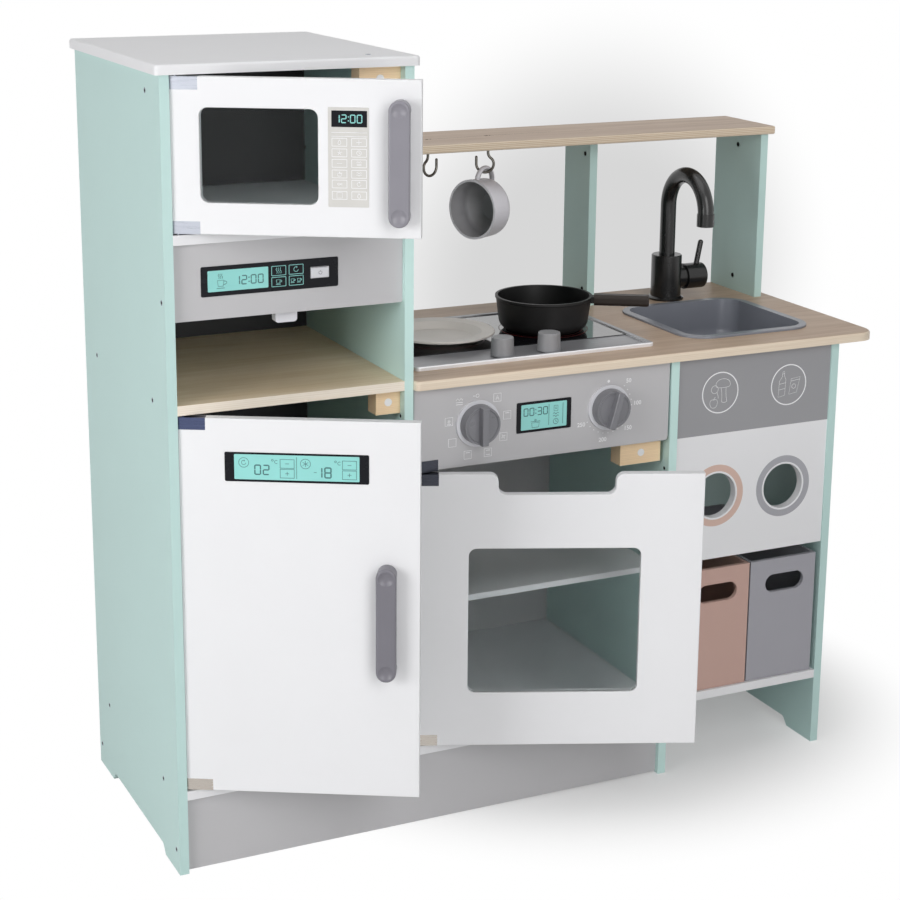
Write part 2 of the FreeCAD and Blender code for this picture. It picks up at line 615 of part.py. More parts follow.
def appliance_fronts():
    """The coffee machine's front, the oven's control panel and the waste board."""
    coffee = Piece("coffee_panel")
    coffee.box((S.tall_inside, S.board, S.coffee_height), (0, 0, 0))
    coffee.round(S.coffee_corner, coffee.edges_through("Y", ((0, 0), (S.tall_inside, 0))))
    play = S.button_play
    level = S.microwave_level - S.coffee_height
    coffee.box((S.button_width + play * 2, S.board, S.button_height + play * 2),
               (S.button_x - S.board - play, 0, S.button_level - level - play), cut=True)
    coffee.place(S.board, S.recess, level)

    button = Piece("coffee_button")
    reach = S.button_proud + S.board + play
    button.box((S.button_width, reach, S.button_height), (0, 0, 0))
    button.round(S.edge_round, button.edges_at("Y", 0))
    flange = S.button_flange
    button.box((S.button_width + flange * 2, S.button_flange_thick, S.button_height + flange * 2),
               (-flange, reach, -flange))
    button.place(S.button_x, S.recess - S.button_proud, S.button_level)

    nozzle = Piece("coffee_nozzle")
    nozzle.box((S.nozzle_width, S.nozzle_depth, S.nozzle_height), (0, 0, 0))
    nozzle.round(S.nozzle_round, nozzle.edges_through("Y", ((0, 0), (S.nozzle_width, 0))))
    nozzle.place(S.nozzle_x, S.recess + S.board, level - S.nozzle_drop)

    control = Piece("control_panel")
    width = S.oven_inside - S.control_gap * 2
    height = S.control_height
    control.box((width, S.board, height), (0, 0, 0))
    control.round(S.control_corner, control.edges_through("Y", ((0, 0), (width, 0))))
    control.round(S.edge_round, control.edges_at("Y", 0))
    for knob_x in (S.mode_knob_x, S.heat_knob_x):
        control.rod(S.spindle_bore, S.board,
                    (knob_x - oven_x - S.control_gap, 0, S.oven_knob_level - control_level), "Y", cut=True)
    control.rod(S.pin_bore, S.pin_socket,
                (oven_pivot - oven_x - S.control_gap, S.pivot_setback - S.control_recess, 0), cut=True)
    control.place(oven_x + S.control_gap, S.control_recess, control_level)

    bracket = Piece("oven_hinge_bracket")
    bracket.box((S.leaf_width, S.leaf, S.leaf_height), (0, 0, 0))
    bracket.box((S.leaf_width, S.leaf_reach, S.leaf), (0, 0, 0))
    bracket.rod(S.pin_bore, S.leaf, (S.pivot_inset, S.pivot_setback - S.control_recess + S.leaf, 0), cut=True)
    bracket.place(oven_pivot - S.pivot_inset, S.control_recess - S.leaf, control_level - S.leaf)

    waste = Piece("waste_board")
    waste.box((S.bin_inside, S.board, S.waste_height), (0, 0, 0))
    for first in (S.waste_first, S.waste_first + S.waste_pitch):
        waste.rod(S.waste_radius, S.board, (first, 0, S.waste_level), "Y", cut=True)
    waste.place(bin_x, S.control_recess, S.low_height - S.waste_height)


def catches():
    """The wooden blocks, with their magnets, that hold the doors shut."""
    blocks = []
    magnets = []
    for left, width, low, height, front, spot_x, spot_z in CATCHES:
        block = plain_box((width, S.block_depth, height), (left, front, low))
        socket = plain_rod(S.magnet_radius, S.magnet_socket, (spot_x, front, spot_z), "Y")
        blocks.append(bored(block, socket))
        proud = S.magnet_length - S.magnet_socket
        magnets.append(plain_rod(S.magnet_radius, S.magnet_length, (spot_x, front - proud, spot_z), "Y"))
    place(group("catch_blocks", blocks), as_size(0), as_size(0), as_size(0))
    place(group("catch_magnets", magnets), as_size(0), as_size(0), as_size(0))


def worktop_and_shelf():
    """The worktop with its cut-outs, and the shelf above it on two uprights."""
    top = Piece("worktop")
    width = right_x + S.board + S.worktop_end - oven_x
    length = S.worktop_front + S.panel_depth + S.worktop_back
    top.box((width, length, S.board), (0, 0, 0))
    top.round(S.worktop_corner, top.edges_through("Z", ((width, 0),)))
    top.round(S.worktop_nose, top.edges_through("Z", ((0, 0), (width, length))))
    top.round(S.worktop_round, top.edges_at("Z", S.board))
    inset = S.sink_lip / 2
    top.box((S.sink_width - S.sink_lip, S.sink_length - S.sink_lip, S.board),
            (S.sink_left + inset - oven_x, S.sink_front + inset + S.worktop_front, 0), cut=True)
    near_x = S.sink_left + inset - oven_x
    near_y = S.sink_front + inset + S.worktop_front
    far_x = near_x + S.sink_width - S.sink_lip
    far_y = near_y + S.sink_length - S.sink_lip
    corners = ((near_x, near_y), (far_x, near_y), (near_x, far_y), (far_x, far_y))
    top.round(S.sink_corner - S.sink_lip / 2, top.edges_through("Z", corners))
    for knob_x in (S.left_hob_knob_x, S.right_hob_knob_x):
        top.rod(S.hob_bore + S.screw_play, S.board,
                (knob_x - oven_x, S.hob_knob_y + S.worktop_front, 0), cut=True)
    top.place(oven_x, -S.worktop_front, S.low_height)

    for label, x, depth in (("right_upright", S.right_upright_x, S.right_upright_depth),
                            ("middle_upright", S.middle_upright_x, S.middle_upright_depth)):
        upright = Piece(label)
        upright.box((S.board, depth, S.upright_height), (0, 0, 0))
        for rise in (S.nut_rise, S.upright_height - S.nut_rise):
            upright.rod(S.nut_radius, S.nut_depth, (0, depth - S.nut_setback, rise), "X", cut=True)
        upright.place(x, S.upright_back - depth, worktop_level)

    shelf = Piece("upper_shelf")
    shelf.box((S.shelf_end - oven_x, S.shelf_depth, S.board), (0, 0, 0))
    ends = shelf.edges_at("X", S.shelf_end - oven_x) + shelf.edges_at("Y", 0, S.board.value * 2)
    shelf.round(S.shelf_round, ends)
    shelf.place(oven_x, S.shelf_front, shelf_level)

    hooks = []
    for x, turn in ((S.left_hook_x, S.left_hook_turn), (S.right_hook_x, S.right_hook_turn)):
        hooks.append(hook(x, turn))
    place(group("mug_hooks", hooks), as_size(0), as_size(0), as_size(0))


def hook(x, turn):
    """A hook of bent wire: a shank, a double bend, a half circle and an upright tip."""
    bend = S.hook_radius.value
    left = S.hook_offset.value - bend
    right = S.hook_offset.value + bend
    low = -S.hook_drop.value
    shank = -S.hook_shank.value
    drop = shank - low
    swing = (left ** 2 + drop ** 2) / (4 * abs(left))
    half = Vector(left / 2, 0, (shank + low) / 2)
    first_centre = Vector(-swing, 0, shank)
    second_centre = Vector(left + swing, 0, low)
    first_middle = first_centre + arc_middle(Vector(0, 0, shank), half, first_centre) * swing
    second_middle = second_centre + arc_middle(half, Vector(left, 0, low), second_centre) * swing
    tip = Vector(right, 0, low + S.hook_tip.value)
    edges = (
        Part.LineSegment(Vector(0, 0, 0), Vector(0, 0, shank)),
        Part.Arc(Vector(0, 0, shank), first_middle, half),
        Part.Arc(half, second_middle, Vector(left, 0, low)),
        Part.Arc(Vector(left, 0, low), Vector(S.hook_offset.value, 0, low - bend), Vector(right, 0, low)),
        Part.LineSegment(Vector(right, 0, low), tip),
    )
    path = Part.Wire([edge.toShape() for edge in edges])
    ring = Part.Wire([Part.Circle(Vector(0, 0, 0), Vector(0, 0, 1), S.hook_wire.value).toShape()])
    solid = path.makePipeShell([ring], True, True)
    wire = doc.addObject("Part::Feature", "HookWire")
    wire.Shape = solid.fuse(Part.makeSphere(S.hook_wire.value, tip)).removeSplitter()
    wire.Placement = FreeCAD.Placement(
        Vector(x.value, S.hook_y.value, shelf_level.value), FreeCAD.Rotation(AXES["Z"], turn.value))
    return wire


def arc_middle(start, end, centre):
    """Direction from an arc's centre to the middle of the arc."""
    return ((start - centre).normalize() + (end - centre).normalize()).normalize()


def hob_and_sink():
    """The hob with its glass and knobs, and the sink."""
    tray = Piece("hob_tray")
    tray.box((S.hob_width, S.hob_depth, S.hob_height), (0, 0, 0))
    corners = ((0, 0), (S.hob_width, 0), (0, S.hob_depth), (S.hob_width, S.hob_depth))
    tray.round(S.hob_corner, tray.edges_through("Z", corners))
    tray.bevel(S.edge_round, tray.edges_at("Z", S.hob_height))
    well_width = S.hob_width - S.hob_rim * 2
    well_depth = S.hob_depth - S.hob_rim * 2
    well_floor = S.hob_height - S.hob_well
    tray.box((well_width, well_depth, S.hob_well), (S.hob_rim, S.hob_rim, well_floor), cut=True)
    for knob_x in (S.left_hob_knob_x, S.right_hob_knob_x):
        tray.rod(S.hob_bore, S.hob_height, (knob_x - S.hob_left, S.hob_knob_y - S.hob_front, 0), cut=True)
    tray.place(S.hob_left, S.hob_front, worktop_level)

    glass = Piece("hob_glass")
    glass.box((well_width, well_depth - S.hob_strip, S.hob_pane), (0, 0, 0))
    glass.place(S.hob_left + S.hob_rim, S.hob_front + S.hob_rim + S.hob_strip, worktop_level + well_floor)

    for label, knob_x in (("left_hob_knob", S.left_hob_knob_x), ("right_hob_knob", S.right_hob_knob_x)):
        knob = Piece(label)
        reach = S.hob_spindle_reach
        head = reach + S.hob_knob_height
        knob.turn(((0, 0), (S.hob_spindle, 0), (S.hob_spindle, reach), (S.hob_knob_radius, reach),
                   (S.hob_knob_radius - S.edge_round, head), (0, head)))
        knob.round(S.edge_round, knob.edges_at("Z", head))
        knob.place(knob_x, S.hob_knob_y, worktop_level + well_floor + S.hob_knob_gap - reach)

    sink = Piece("sink")
    wide, long, lip = S.sink_width, S.sink_length, S.sink_lip
    bowl(sink, lip, as_size(0), S.sink_depth, S.sink_bowl_round + S.sink_wall)
    sink.box((wide, long, S.sink_rim), (0, 0, 0))
    sink.round(S.sink_corner, sink.edges_through("Z", ((0, 0), (wide, 0), (0, long), (wide, long))))
    sink.round(S.edge_round, sink.edges_at("Z", S.sink_rim))
    core = Piece("SinkCore", exported=False)
    depth = S.sink_depth + S.sink_rim - S.sink_wall
    bowl(core, lip + S.sink_wall, S.sink_rim, depth, S.sink_bowl_round)
    sink.hollow_out(core)
    sink.place(S.sink_left, S.sink_front, worktop_level)


def bowl(piece, inset, top, depth, radius):
    """A tapering block with rounded corners and floor, set in from the sink's edges."""
    width = S.sink_width - inset * 2
    length = S.sink_length - inset * 2
    corners = ((0, 0), (width, 0), (width, length), (0, length))
    piece.pad(piece.outline("XY", corners, (inset, inset), top), depth, back=True, taper=SINK_TAPER)
    floor = top - depth
    piece.round(radius, slanted_edges(piece, floor, top) + piece.edges_at("Z", floor))


def slanted_edges(piece, low, high):
    """Name the edges that run from one level up to another."""
    low = as_size(low).value
    high = as_size(high).value
    names = []
    for number, edge in enumerate(piece.body.Tip.Shape.Edges, 1):
        box = edge.BoundBox
        if abs(box.ZMin - low) < NEAR and abs(box.ZMax - high) < NEAR:
            names.append(f"Edge{number}")
    return names


def tap():
    """The tap: a fixed base, a spout that swivels in it and a lever on its side."""
    base = Piece("faucet_base")
    rise = S.tap_flange_height
    base.turn(((0, 0), (S.tap_flange, 0), (S.tap_flange, rise - S.edge_round),
               (S.tap_body, rise + S.edge_round), (S.tap_body, S.tap_height - S.edge_round),
               (S.tap_body - S.edge_round, S.tap_height), (S.spout_bore, S.tap_height),
               (S.spout_bore, S.tap_floor), (0, S.tap_floor)))
    base.rod(S.neck_radius, S.neck_end - S.neck_start, (S.neck_start, 0, S.lever_level), "X")
    base.rod(S.lever_bore, S.lever_spindle_reach + S.hub_gap,
             (S.neck_end - S.lever_spindle_reach - S.hub_gap, 0, S.lever_level), "X", cut=True)
    base.place(S.tap_x, S.tap_y, worktop_level)

    spout = Piece("faucet_spout")
    foot = S.tap_floor + S.hub_gap
    spout.rod(S.spout_radius, S.spout_spring - foot, (0, 0, foot))
    upright_arch = FreeCAD.Rotation(AXES["Z"], 90) * FreeCAD.Rotation(AXES["X"], 90)
    spout.half_ring(S.spout_arch, S.spout_radius, (0, -S.spout_arch, S.spout_spring), upright_arch)
    outlet = -S.spout_arch * 2
    spout.rod(S.spout_radius, S.spout_spring - S.spout_end, (0, outlet, S.spout_end))
    spout.rod(S.spout_collar, S.spout_collar_height, (0, outlet, S.spout_end))
    spout.rod(S.spout_mouth, S.spout_mouth_depth, (0, outlet, S.spout_end), cut=True)
    spout.place(S.tap_x, S.tap_y, worktop_level)

    lever = Piece("faucet_lever")
    reach = S.lever_spindle_reach
    lever.turn(((0, 0), (S.lever_spindle, 0), (S.lever_spindle, reach), (S.hub_radius, reach),
                (S.hub_radius, reach + S.hub_length), (0, reach + S.hub_length)))
    lever.round(S.hub_round, lever.edges_at("Z", reach + S.hub_length))
    stem = lever.body.newObject("PartDesign::AdditiveCylinder", "Stem")
    bind(stem, "Radius", S.lever_radius)
    bind(stem, "Height", S.lever_length)
    lean = FreeCAD.Rotation(AXES["Y"], -90 + S.lever_lean.value)
    stem.Placement = FreeCAD.Placement(Vector(), lean)
    bind(stem, "Placement.Base.z", reach + S.lever_root)
    doc.recompute()
    lever.round(S.lever_radius - S.screw_play, stem_tip(stem))
    hub_x = S.tap_x + S.neck_end + S.hub_gap
    lever.place(hub_x - reach, S.tap_y, worktop_level + S.lever_level, "Y", as_size(90))


def stem_tip(stem):
    """Name the round edge at the outer end of the lever's rod."""
    tip = stem.Placement.multVec(Vector(0, 0, S.lever_length.value))
    near = [(edge.CenterOfMass - tip).Length for edge in stem.Shape.Edges]
    return [f"Edge{near.index(min(near)) + 1}"]


def oven_knobs():
    """The two oven knobs and the fixed rings behind them."""
    rings = []
    for label, knob_x, turn in (("mode_knob", S.mode_knob_x, as_size(0)),
                                ("temperature_knob", S.heat_knob_x, S.heat_knob_turn)):
        front = S.control_recess - S.skirt_thick
        ring = plain_rod(S.skirt_radius, S.skirt_thick, (knob_x, front, S.oven_knob_level), "Y")
        hole = plain_rod(S.skirt_bore, S.skirt_thick, (knob_x, front, S.oven_knob_level), "Y")
        rings.append(bored(ring, hole))

        knob = Piece(label)
        reach = S.spindle_reach
        edge = S.dial_radius - S.edge_round
        dish = edge - S.edge_round * 2
        face = reach + S.dial_height
        knob.turn(((0, 0), (S.spindle, 0), (S.spindle, reach), (S.dial_radius, reach), (edge, face),
                   (dish, face), (dish - S.edge_round, face - S.edge_round), (0, face - S.edge_round)))
        knob.box((S.grip_thick, edge * 2, S.grip_height - S.edge_round),
                 (-S.grip_thick / 2, -edge, reach + S.edge_round))
        knob.round(S.edge_round, knob.edges_at("Z", reach + S.grip_height))
        knob.body.Placement = FreeCAD.Placement(Vector(), knob_rotation(turn.value))
        knob_y = front - S.dial_play + reach
        for letter, number in zip("xyz", (knob_x - S.origin_x, knob_y - S.origin_y, S.oven_knob_level)):
            bind(knob.body, f"Placement.Base.{letter}", number)
    place(group("knob_skirts", rings), as_size(0), as_size(0), as_size(0))


def knob_rotation(turn):
    """Stand a knob's axis out of the front, with its grip turned clockwise from upright."""
    return FreeCAD.Rotation(AXES["Y"], turn) * FreeCAD.Rotation(AXES["X"], 90)


def door_panel(label, width, low, high, window=None, notch=False):
    """A lacquered door about its pivot, with its window and the rebates for its hinge leaves."""
    piece = Piece(label)
    left, front = -S.pivot_inset, -S.pivot_setback
    height = high - low
    if notch:
        near, far, drop = S.grip_left, S.grip_left + S.grip_width, height - S.grip_drop
        sketch = piece.outline("XZ", (
            (0, 0), (width, 0), (width, height), (far, height), (far, drop), (near, drop), (near, height),
            (0, height)), (left, low), -front)
        piece.pad(sketch, S.board, back=True)
        corners = [(left + u, low + v) for u in (near, far) for v in (drop, height)]
        piece.round(S.grip_round, piece.edges_through("Y", corners))
    else:
        piece.box((width, S.board, height), (left, front, low))
    if window:
        opening, place_at = window_box(window, S.board, front)
        piece.box(opening, place_at, cut=True)
        piece.round(S.window_round, piece.edges_through("Y", window_corners(window)))
    piece.round(S.edge_round, piece.edges_at("Y", front))
    for edge, rise in ((high, -1), (low, 1)):
        for size, at in leaf_boxes(edge, rise):
            piece.box(size, at, cut=True)
    return piece


def window_box(window, thick, front):
    """Size and place of a window given by its edges from the hinge edge and the floor."""
    near, far, low, high = window
    return (far - near, thick, high - low), (near - S.pivot_inset, front, low)


def window_corners(window):
    """The four corners of a window, about the door's pivot."""
    near, far, low, high = window
    return [(u - S.pivot_inset, v) for u in (near, far) for v in (low, high)]


def leaf_boxes(edge, rise):
    """The front and the folded leaf of a hinge at a door's upper or lower edge."""
    left, front = -S.pivot_inset, -S.pivot_setback
    low = edge if rise > 0 else edge - S.leaf_height
    fold = edge if rise > 0 else edge - S.leaf
    return (((S.leaf_width, S.leaf, S.leaf_height), (left, front, low)),
            ((S.leaf_width, S.leaf_reach, S.leaf), (left, front, fold)))


def hinge_leaf(edge, rise):
    """One bent hinge leaf with its pin."""
    parts = [plain_box(size, at) for size, at in leaf_boxes(edge, rise)]
    length = S.pin_reach + S.leaf
    start = edge - S.leaf if rise < 0 else edge - S.pin_reach
    parts.append(plain_rod(S.pin_radius, length, (0, 0, start)))
    return fused(*parts)


def handle(label, middle, level):
    """A moulded handle: a bar with round ends, hollowed there, on two posts."""
    piece = Piece(label)
    radius = S.handle_width / 2
    reach = S.handle_length / 2 - radius
    front = -S.pivot_setback - S.handle_gap - S.handle_bar
    centre = middle - S.pivot_inset
    piece.box((S.handle_width, S.handle_bar, reach * 2), (centre - radius, front, level - reach))
    for end in (level - reach, level + reach):
        piece.rod(radius, S.handle_bar, (centre, front, end), "Y")
    piece.round(S.handle_round, piece.edges_at("Y", front, radius.value * 2))
    for end in (level - reach, level + reach):
        piece.rod(S.handle_post, S.handle_gap, (centre, front + S.handle_bar, end), "Y")
        piece.sphere(S.dimple_sphere, (centre, front + S.dimple_depth - S.dimple_sphere, end), cut=True)
    return piece


def pane(label, window):
    """The clear pane of a window."""
    piece = Piece(label)
    size, at = window_box(window, S.pane, S.pane_setback - S.pivot_setback)
    piece.box(size, at)
    piece.round(S.window_round, piece.edges_through("Y", window_corners(window)))
    return piece


def strike(label, spot_x, spot_z, pivot):
    """The steel plate on a door's back that its magnet holds."""
    piece = Piece(label)
    piece.box((S.strike_width, S.strike, S.strike_height),
              (spot_x - pivot - S.strike_width / 2, S.board - S.pivot_setback, spot_z - S.strike_height / 2))
    return piece


def doors():
    """The three doors with all that they carry, ajar as they stand."""
    for name, pivot, width, low, high, turn, window, catch, grip in DOORS:
        parts = [door_panel(f"{name}_door", width, low, high, window, grip is None).body]
        if window:
            parts.append(pane(f"{name}_window", window).body)
        if grip:
            parts.append(handle(f"{name}_handle", *grip).body)
        parts.append(strike(f"{name}_strike", catch[-2], catch[-1], pivot).body)
        parts.append(group(f"{name}_door_hinges", [hinge_leaf(high, -1), hinge_leaf(low, 1)]))
        for part in parts:
            place(part, pivot, S.pivot_setback, as_size(0), "Z", -turn)


def bins():
    """The two bins, each a front with a grip slot and a tray behind it."""
    for name, x in (("pink_bin", S.pink_bin_x), ("grey_bin", S.grey_bin_x)):
        front = Piece(f"{name}_front")
        front.box((S.bin_width, S.bin_front, S.bin_height), (0, 0, 0))
        half = (S.slot_width - S.slot_height) / 2
        centre = S.bin_width / 2 + S.slot_shift
        front.box((half * 2, S.bin_front, S.slot_height),
                  (centre - half, 0, S.slot_level - S.slot_height / 2), cut=True)
        for end in (centre - half, centre + half):
            front.rod(S.slot_height / 2, S.bin_front, (end, 0, S.slot_level), "Y", cut=True)
        tray = Piece(f"{name}_tray")
        depth = S.bin_depth - S.bin_front
        tray.box((S.bin_width, depth, S.bin_height), (0, 0, 0))
        tray.box((S.bin_width - S.bin_wall * 2, depth - S.bin_wall, S.bin_height - S.bin_wall),
                 (S.bin_wall, 0, S.bin_wall), cut=True)
        level = S.plinth + S.board + S.bin_play
        front.place(x, S.bin_setback, level)
        tray.place(x, S.bin_setback + S.bin_front, level)


def tableware():
    """The mug on its hook, the pan and the plate."""
    mug = Piece("mug")
    wall = S.mug_wall
    length = S.mug_length
    belly = S.mug_radius - S.edge_round
    shoulder = length / 3
    mug.turn(((0, 0), (S.mug_base, 0), (belly, shoulder), (S.mug_radius, length),
              (S.mug_radius - wall, length), (belly - wall, shoulder + wall),
              (S.mug_base - wall, S.mug_floor), (0, S.mug_floor)))
    mug.round(S.mug_base / 2, mug.edges_at("Z", shoulder))
    mug.round(S.mug_base / 2 - wall, mug.edges_at("Z", shoulder + wall))
    middle = length - S.mug_loop_place
    mug.half_ring(S.mug_loop, S.mug_strap, (0, S.mug_loop_level, middle), FreeCAD.Rotation(AXES["Y"], 90))
    roots = (S.mug_base + wall * 8 / 5, belly - wall * 2 / 3)
    for end, root in zip((middle - S.mug_loop, middle + S.mug_loop), roots):
        mug.rod(S.mug_strap, S.mug_loop_level - root, (0, root, end), "Y")
    mouth = FreeCAD.Rotation(AXES["Z"], 180 + S.mug_turn.value) * FreeCAD.Rotation(AXES["Y"], 90)
    mug.body.Placement = FreeCAD.Placement(Vector(), mouth * FreeCAD.Rotation(AXES["Z"], 90))
    back = mouth.multVec(Vector(0, 0, -middle.value))
    back += FreeCAD.Rotation(AXES["Z"], S.right_hook_turn.value).multVec(Vector(S.hook_offset.value, 0, 0))
    bind(mug.body, "Placement.Base.x", S.right_hook_x - S.origin_x + back.x)
    bind(mug.body, "Placement.Base.y", S.hook_y - S.origin_y + back.y)
    bind(mug.body, "Placement.Base.z", S.mug_axis_level)

    ware_level = worktop_level + S.hob_height - S.hob_well + S.hob_pane + S.ware_gap
    pan = Piece("pan")
    slope = S.pan_rim - S.pan_base
    edge, lip = S.pan_rim + S.pan_lip, S.pan_height - S.pan_lip_height
    pan.turn(((0, 0), (S.pan_base, 0), (S.pan_rim, lip - S.pan_lip), (edge, lip), (edge, S.pan_height),
              (S.pan_rim - S.pan_wall, S.pan_height),
              (S.pan_base - S.pan_wall + slope / 16, S.pan_wall), (0, S.pan_wall)))
    pan.round(S.pan_round, pan.edges_at("Z", 0))
    pan.round(S.pan_round - S.pan_wall, pan.edges_at("Z", S.pan_wall))
    root = S.pan_rim - S.pan_wall
    pan.box((S.pan_socket - root, S.pan_socket_width, S.pan_socket_height),
            (root, -S.pan_socket_width / 2, S.pan_handle_level - S.pan_socket_height / 2))
    pan.place(S.pan_x, S.pan_y, ware_level, "Z", S.pan_turn)

    grip = Piece("pan_handle")
    grip.box((S.pan_handle_end - S.pan_socket, S.pan_handle_width, S.pan_handle_height),
             (S.pan_socket, -S.pan_handle_width / 2, S.pan_handle_level - S.pan_handle_height / 2))
    half = S.pan_handle_height / 2
    sides = [(v, w) for v in (-S.pan_handle_width / 2, S.pan_handle_width / 2)
             for w in (S.pan_handle_level - half, S.pan_handle_level + half)]
    grip.round(S.pan_handle_round, grip.edges_through("X", sides))
    grip.round(S.pan_handle_round / 2, grip.edges_at("X", S.pan_handle_end))
    grip.place(S.pan_x, S.pan_y, ware_level, "Z", S.pan_turn)

    plate = Piece("plate")
    foot, thick = S.plate_foot, S.plate_thick
    well, rise = S.plate_well, S.plate_well_rise
    edge, top = S.plate_radius, S.plate_height
    plate.turn(((0, 0), (foot, 0), (well, rise), (edge, top - thick), (edge, top),
                (well, rise + thick * 3 / 2), (foot + thick, thick), (0, thick)))
    plate.round(S.edge_round, plate.edges_at("Z", S.plate_height))
    plate.place(S.plate_x, S.plate_y, ware_level)


doc = FreeCAD.newDocument("ToyKitchen")
sheet = doc.addObject("Spreadsheet::Sheet", "Sizes")
for row, (alias, value, meaning) in enumerate(SIZES, 1):
    sheet.set(f"A{row}", meaning)
    sheet.set(f"B{row}", str(value))
    sheet.setAlias(f"B{row}", alias)
doc.recompute()
S = SimpleNamespace(**{alias: Size(float(value), f"Sizes.{alias}") for alias, value, meaning in SIZES})
pieces = []

# Places that follow from the sizes.
tall_x = S.board + S.tall_inside
oven_x = tall_x + S.board
divider_x = oven_x + S.oven_inside
bin_x = divider_x + S.board
right_x = bin_x + S.bin_inside
worktop_level = S.low_height + S.board
shelf_level = worktop_level + S.upright_height
control_level = S.low_height - S.control_height
fridge_pivot = S.board + S.hinge_gap + S.pivot_inset
oven_pivot = oven_x + S.hinge_gap + S.pivot_inset
SINK_TAPER = -4

# Screws in the outer faces of the side panels, as distances from the front edges and the floor.
shelf_middle = S.plinth + S.board / 2
niche_middle = S.low_height + S.board / 2
kick_middle = S.recess + S.board / 2
LEFT_SCREWS = (
    (as_size(61), niche_middle), (as_size(308), niche_middle), (kick_middle, as_size(733)),
    (as_size(61), shelf_middle), (as_size(308), shelf_middle), (kick_middle, as_size(30)),
    (S.rail_setback + S.board / 2, as_size(30)), (as_size(56), as_size(977)))
waste_middle = S.control_recess + S.board / 2
RIGHT_SCREWS = (
    (as_size(61), shelf_middle), (as_size(308), shelf_middle), (waste_middle, as_size(350)),
    (waste_middle, as_size(560)))

# Catch blocks: left, width, underside, height, front, and the magnet's place.
TOP_CATCH = (tall_x - 54, as_size(54), S.tall_height - 32, as_size(32), S.block_setback,
             tall_x - 27, S.tall_height - 16)
NICHE_CATCH = (tall_x - 33, as_size(33), S.low_height - 32, as_size(32), S.block_setback,
               tall_x - 16.5, S.low_height - 16.5)
OVEN_CATCH = (divider_x - 67.5, as_size(62), control_level - 32, as_size(40), S.block_setback,
              divider_x - 36, control_level - 16.5)
CATCHES = (TOP_CATCH, NICHE_CATCH, OVEN_CATCH)

# Doors: name, pivot, width, lower and upper edge, opening, window, catch, and the handle's place.
MICROWAVE_WINDOW = (as_size(34), as_size(171), as_size(853), as_size(963))
OVEN_WINDOW = (as_size(72), as_size(293.5), as_size(187.5), as_size(385.5))
floor_level = S.plinth + S.board + S.door_gap
DOORS = (
    ("microwave", fridge_pivot, S.tall_door_width, S.microwave_level + S.board + S.door_gap,
     S.tall_height - S.door_gap, S.microwave_turn, MICROWAVE_WINDOW, TOP_CATCH, (as_size(266), as_size(904))),
    ("fridge", fridge_pivot, S.tall_door_width, floor_level, S.low_height - S.door_gap,
     S.fridge_turn, None, NICHE_CATCH, (as_size(250.2), as_size(345.5))),
    ("oven", oven_pivot, S.oven_door_width, floor_level, control_level - S.door_gap,
     S.oven_turn, OVEN_WINDOW, OVEN_CATCH, None),
)

carcass()
appliance_fronts()
catches()
worktop_and_shelf()
hob_and_sink()
tap()
oven_knobs()
doors()
bins()
tableware()
doc.recompute()

failed = [item for item in doc.Objects if {"Invalid", "Error"} & set(item.State)]
if failed:
    raise RuntimeError("; ".join(f"{item.Label} of {item.InList[0].Label} failed" for item in failed))
for piece in pieces:
    if piece.Shape.isNull() or not piece.Shape.isValid() or not piece.Shape.Solids:
        raise RuntimeError(f"{piece.Label} has no valid solid")

os.makedirs("parts", exist_ok=True)
whole = FreeCAD.BoundBox()
for piece in pieces:
    whole.add(piece.Shape.optimalBoundingBox(False, False))
    piece.Shape.exportStep(f"parts/{piece.Label}.step")
print(f"{len(pieces)} sub-parts, box {whole}")
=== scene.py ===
"""Finishes, prints, displays and a studio stage for a wooden toy kitchen, laid over its packed frame."""

import json
import math

import bpy
from mathutils import Matrix, Vector


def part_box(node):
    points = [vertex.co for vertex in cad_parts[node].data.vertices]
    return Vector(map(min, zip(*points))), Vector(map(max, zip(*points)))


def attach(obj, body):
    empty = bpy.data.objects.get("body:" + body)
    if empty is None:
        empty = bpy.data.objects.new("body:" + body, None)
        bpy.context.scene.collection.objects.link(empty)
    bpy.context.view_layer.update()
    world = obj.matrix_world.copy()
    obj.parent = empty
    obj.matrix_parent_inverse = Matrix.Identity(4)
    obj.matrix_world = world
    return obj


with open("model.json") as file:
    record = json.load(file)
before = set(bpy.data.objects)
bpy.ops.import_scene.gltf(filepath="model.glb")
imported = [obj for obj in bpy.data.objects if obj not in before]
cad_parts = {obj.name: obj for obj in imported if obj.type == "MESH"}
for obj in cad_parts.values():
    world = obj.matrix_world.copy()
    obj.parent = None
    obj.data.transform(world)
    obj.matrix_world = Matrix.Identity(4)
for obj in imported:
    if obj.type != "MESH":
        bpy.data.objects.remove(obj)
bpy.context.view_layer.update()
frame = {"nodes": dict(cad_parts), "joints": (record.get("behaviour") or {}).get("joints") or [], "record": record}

bl_info = {
    "name": "Toy kitchen dressing",
    "version": (1, 0, 0),
    "blender": (4, 5, 0),
    "location": "3D View > Sidebar > Kitchen",
    "description": "Finishes the boards of a toy kitchen and lays its prints, displays and fittings on",
    "category": "Object",
}

JOINTS = {joint["name"]: joint for joint in frame["joints"]}
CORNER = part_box("left_side_panel")[0]
MM = 0.001
# In millimetres: setbacks of the fronts, a door's edge and face from its pin, bevels of frames and screens, the
# height of the top and the height at which the waste board turns grey. A large circle has so many sides.
COFFEE_SETBACK, BUTTON_SETBACK, CONTROL_SETBACK = 7, 4, 2
PIN_TO_EDGE, PIN_TO_FACE = 6, 5
FRAME_EDGE, SCREEN_EDGE = 0.15, 0.08
TOP_LEVEL = 1012
WASTE_SPLIT = 486.5
LARGE_ROUND = 96
# Height of a drawn line over its width, and by what share of their height figures are made bolder.
FLATTENED = 0.3
WEIGHT = 0.018


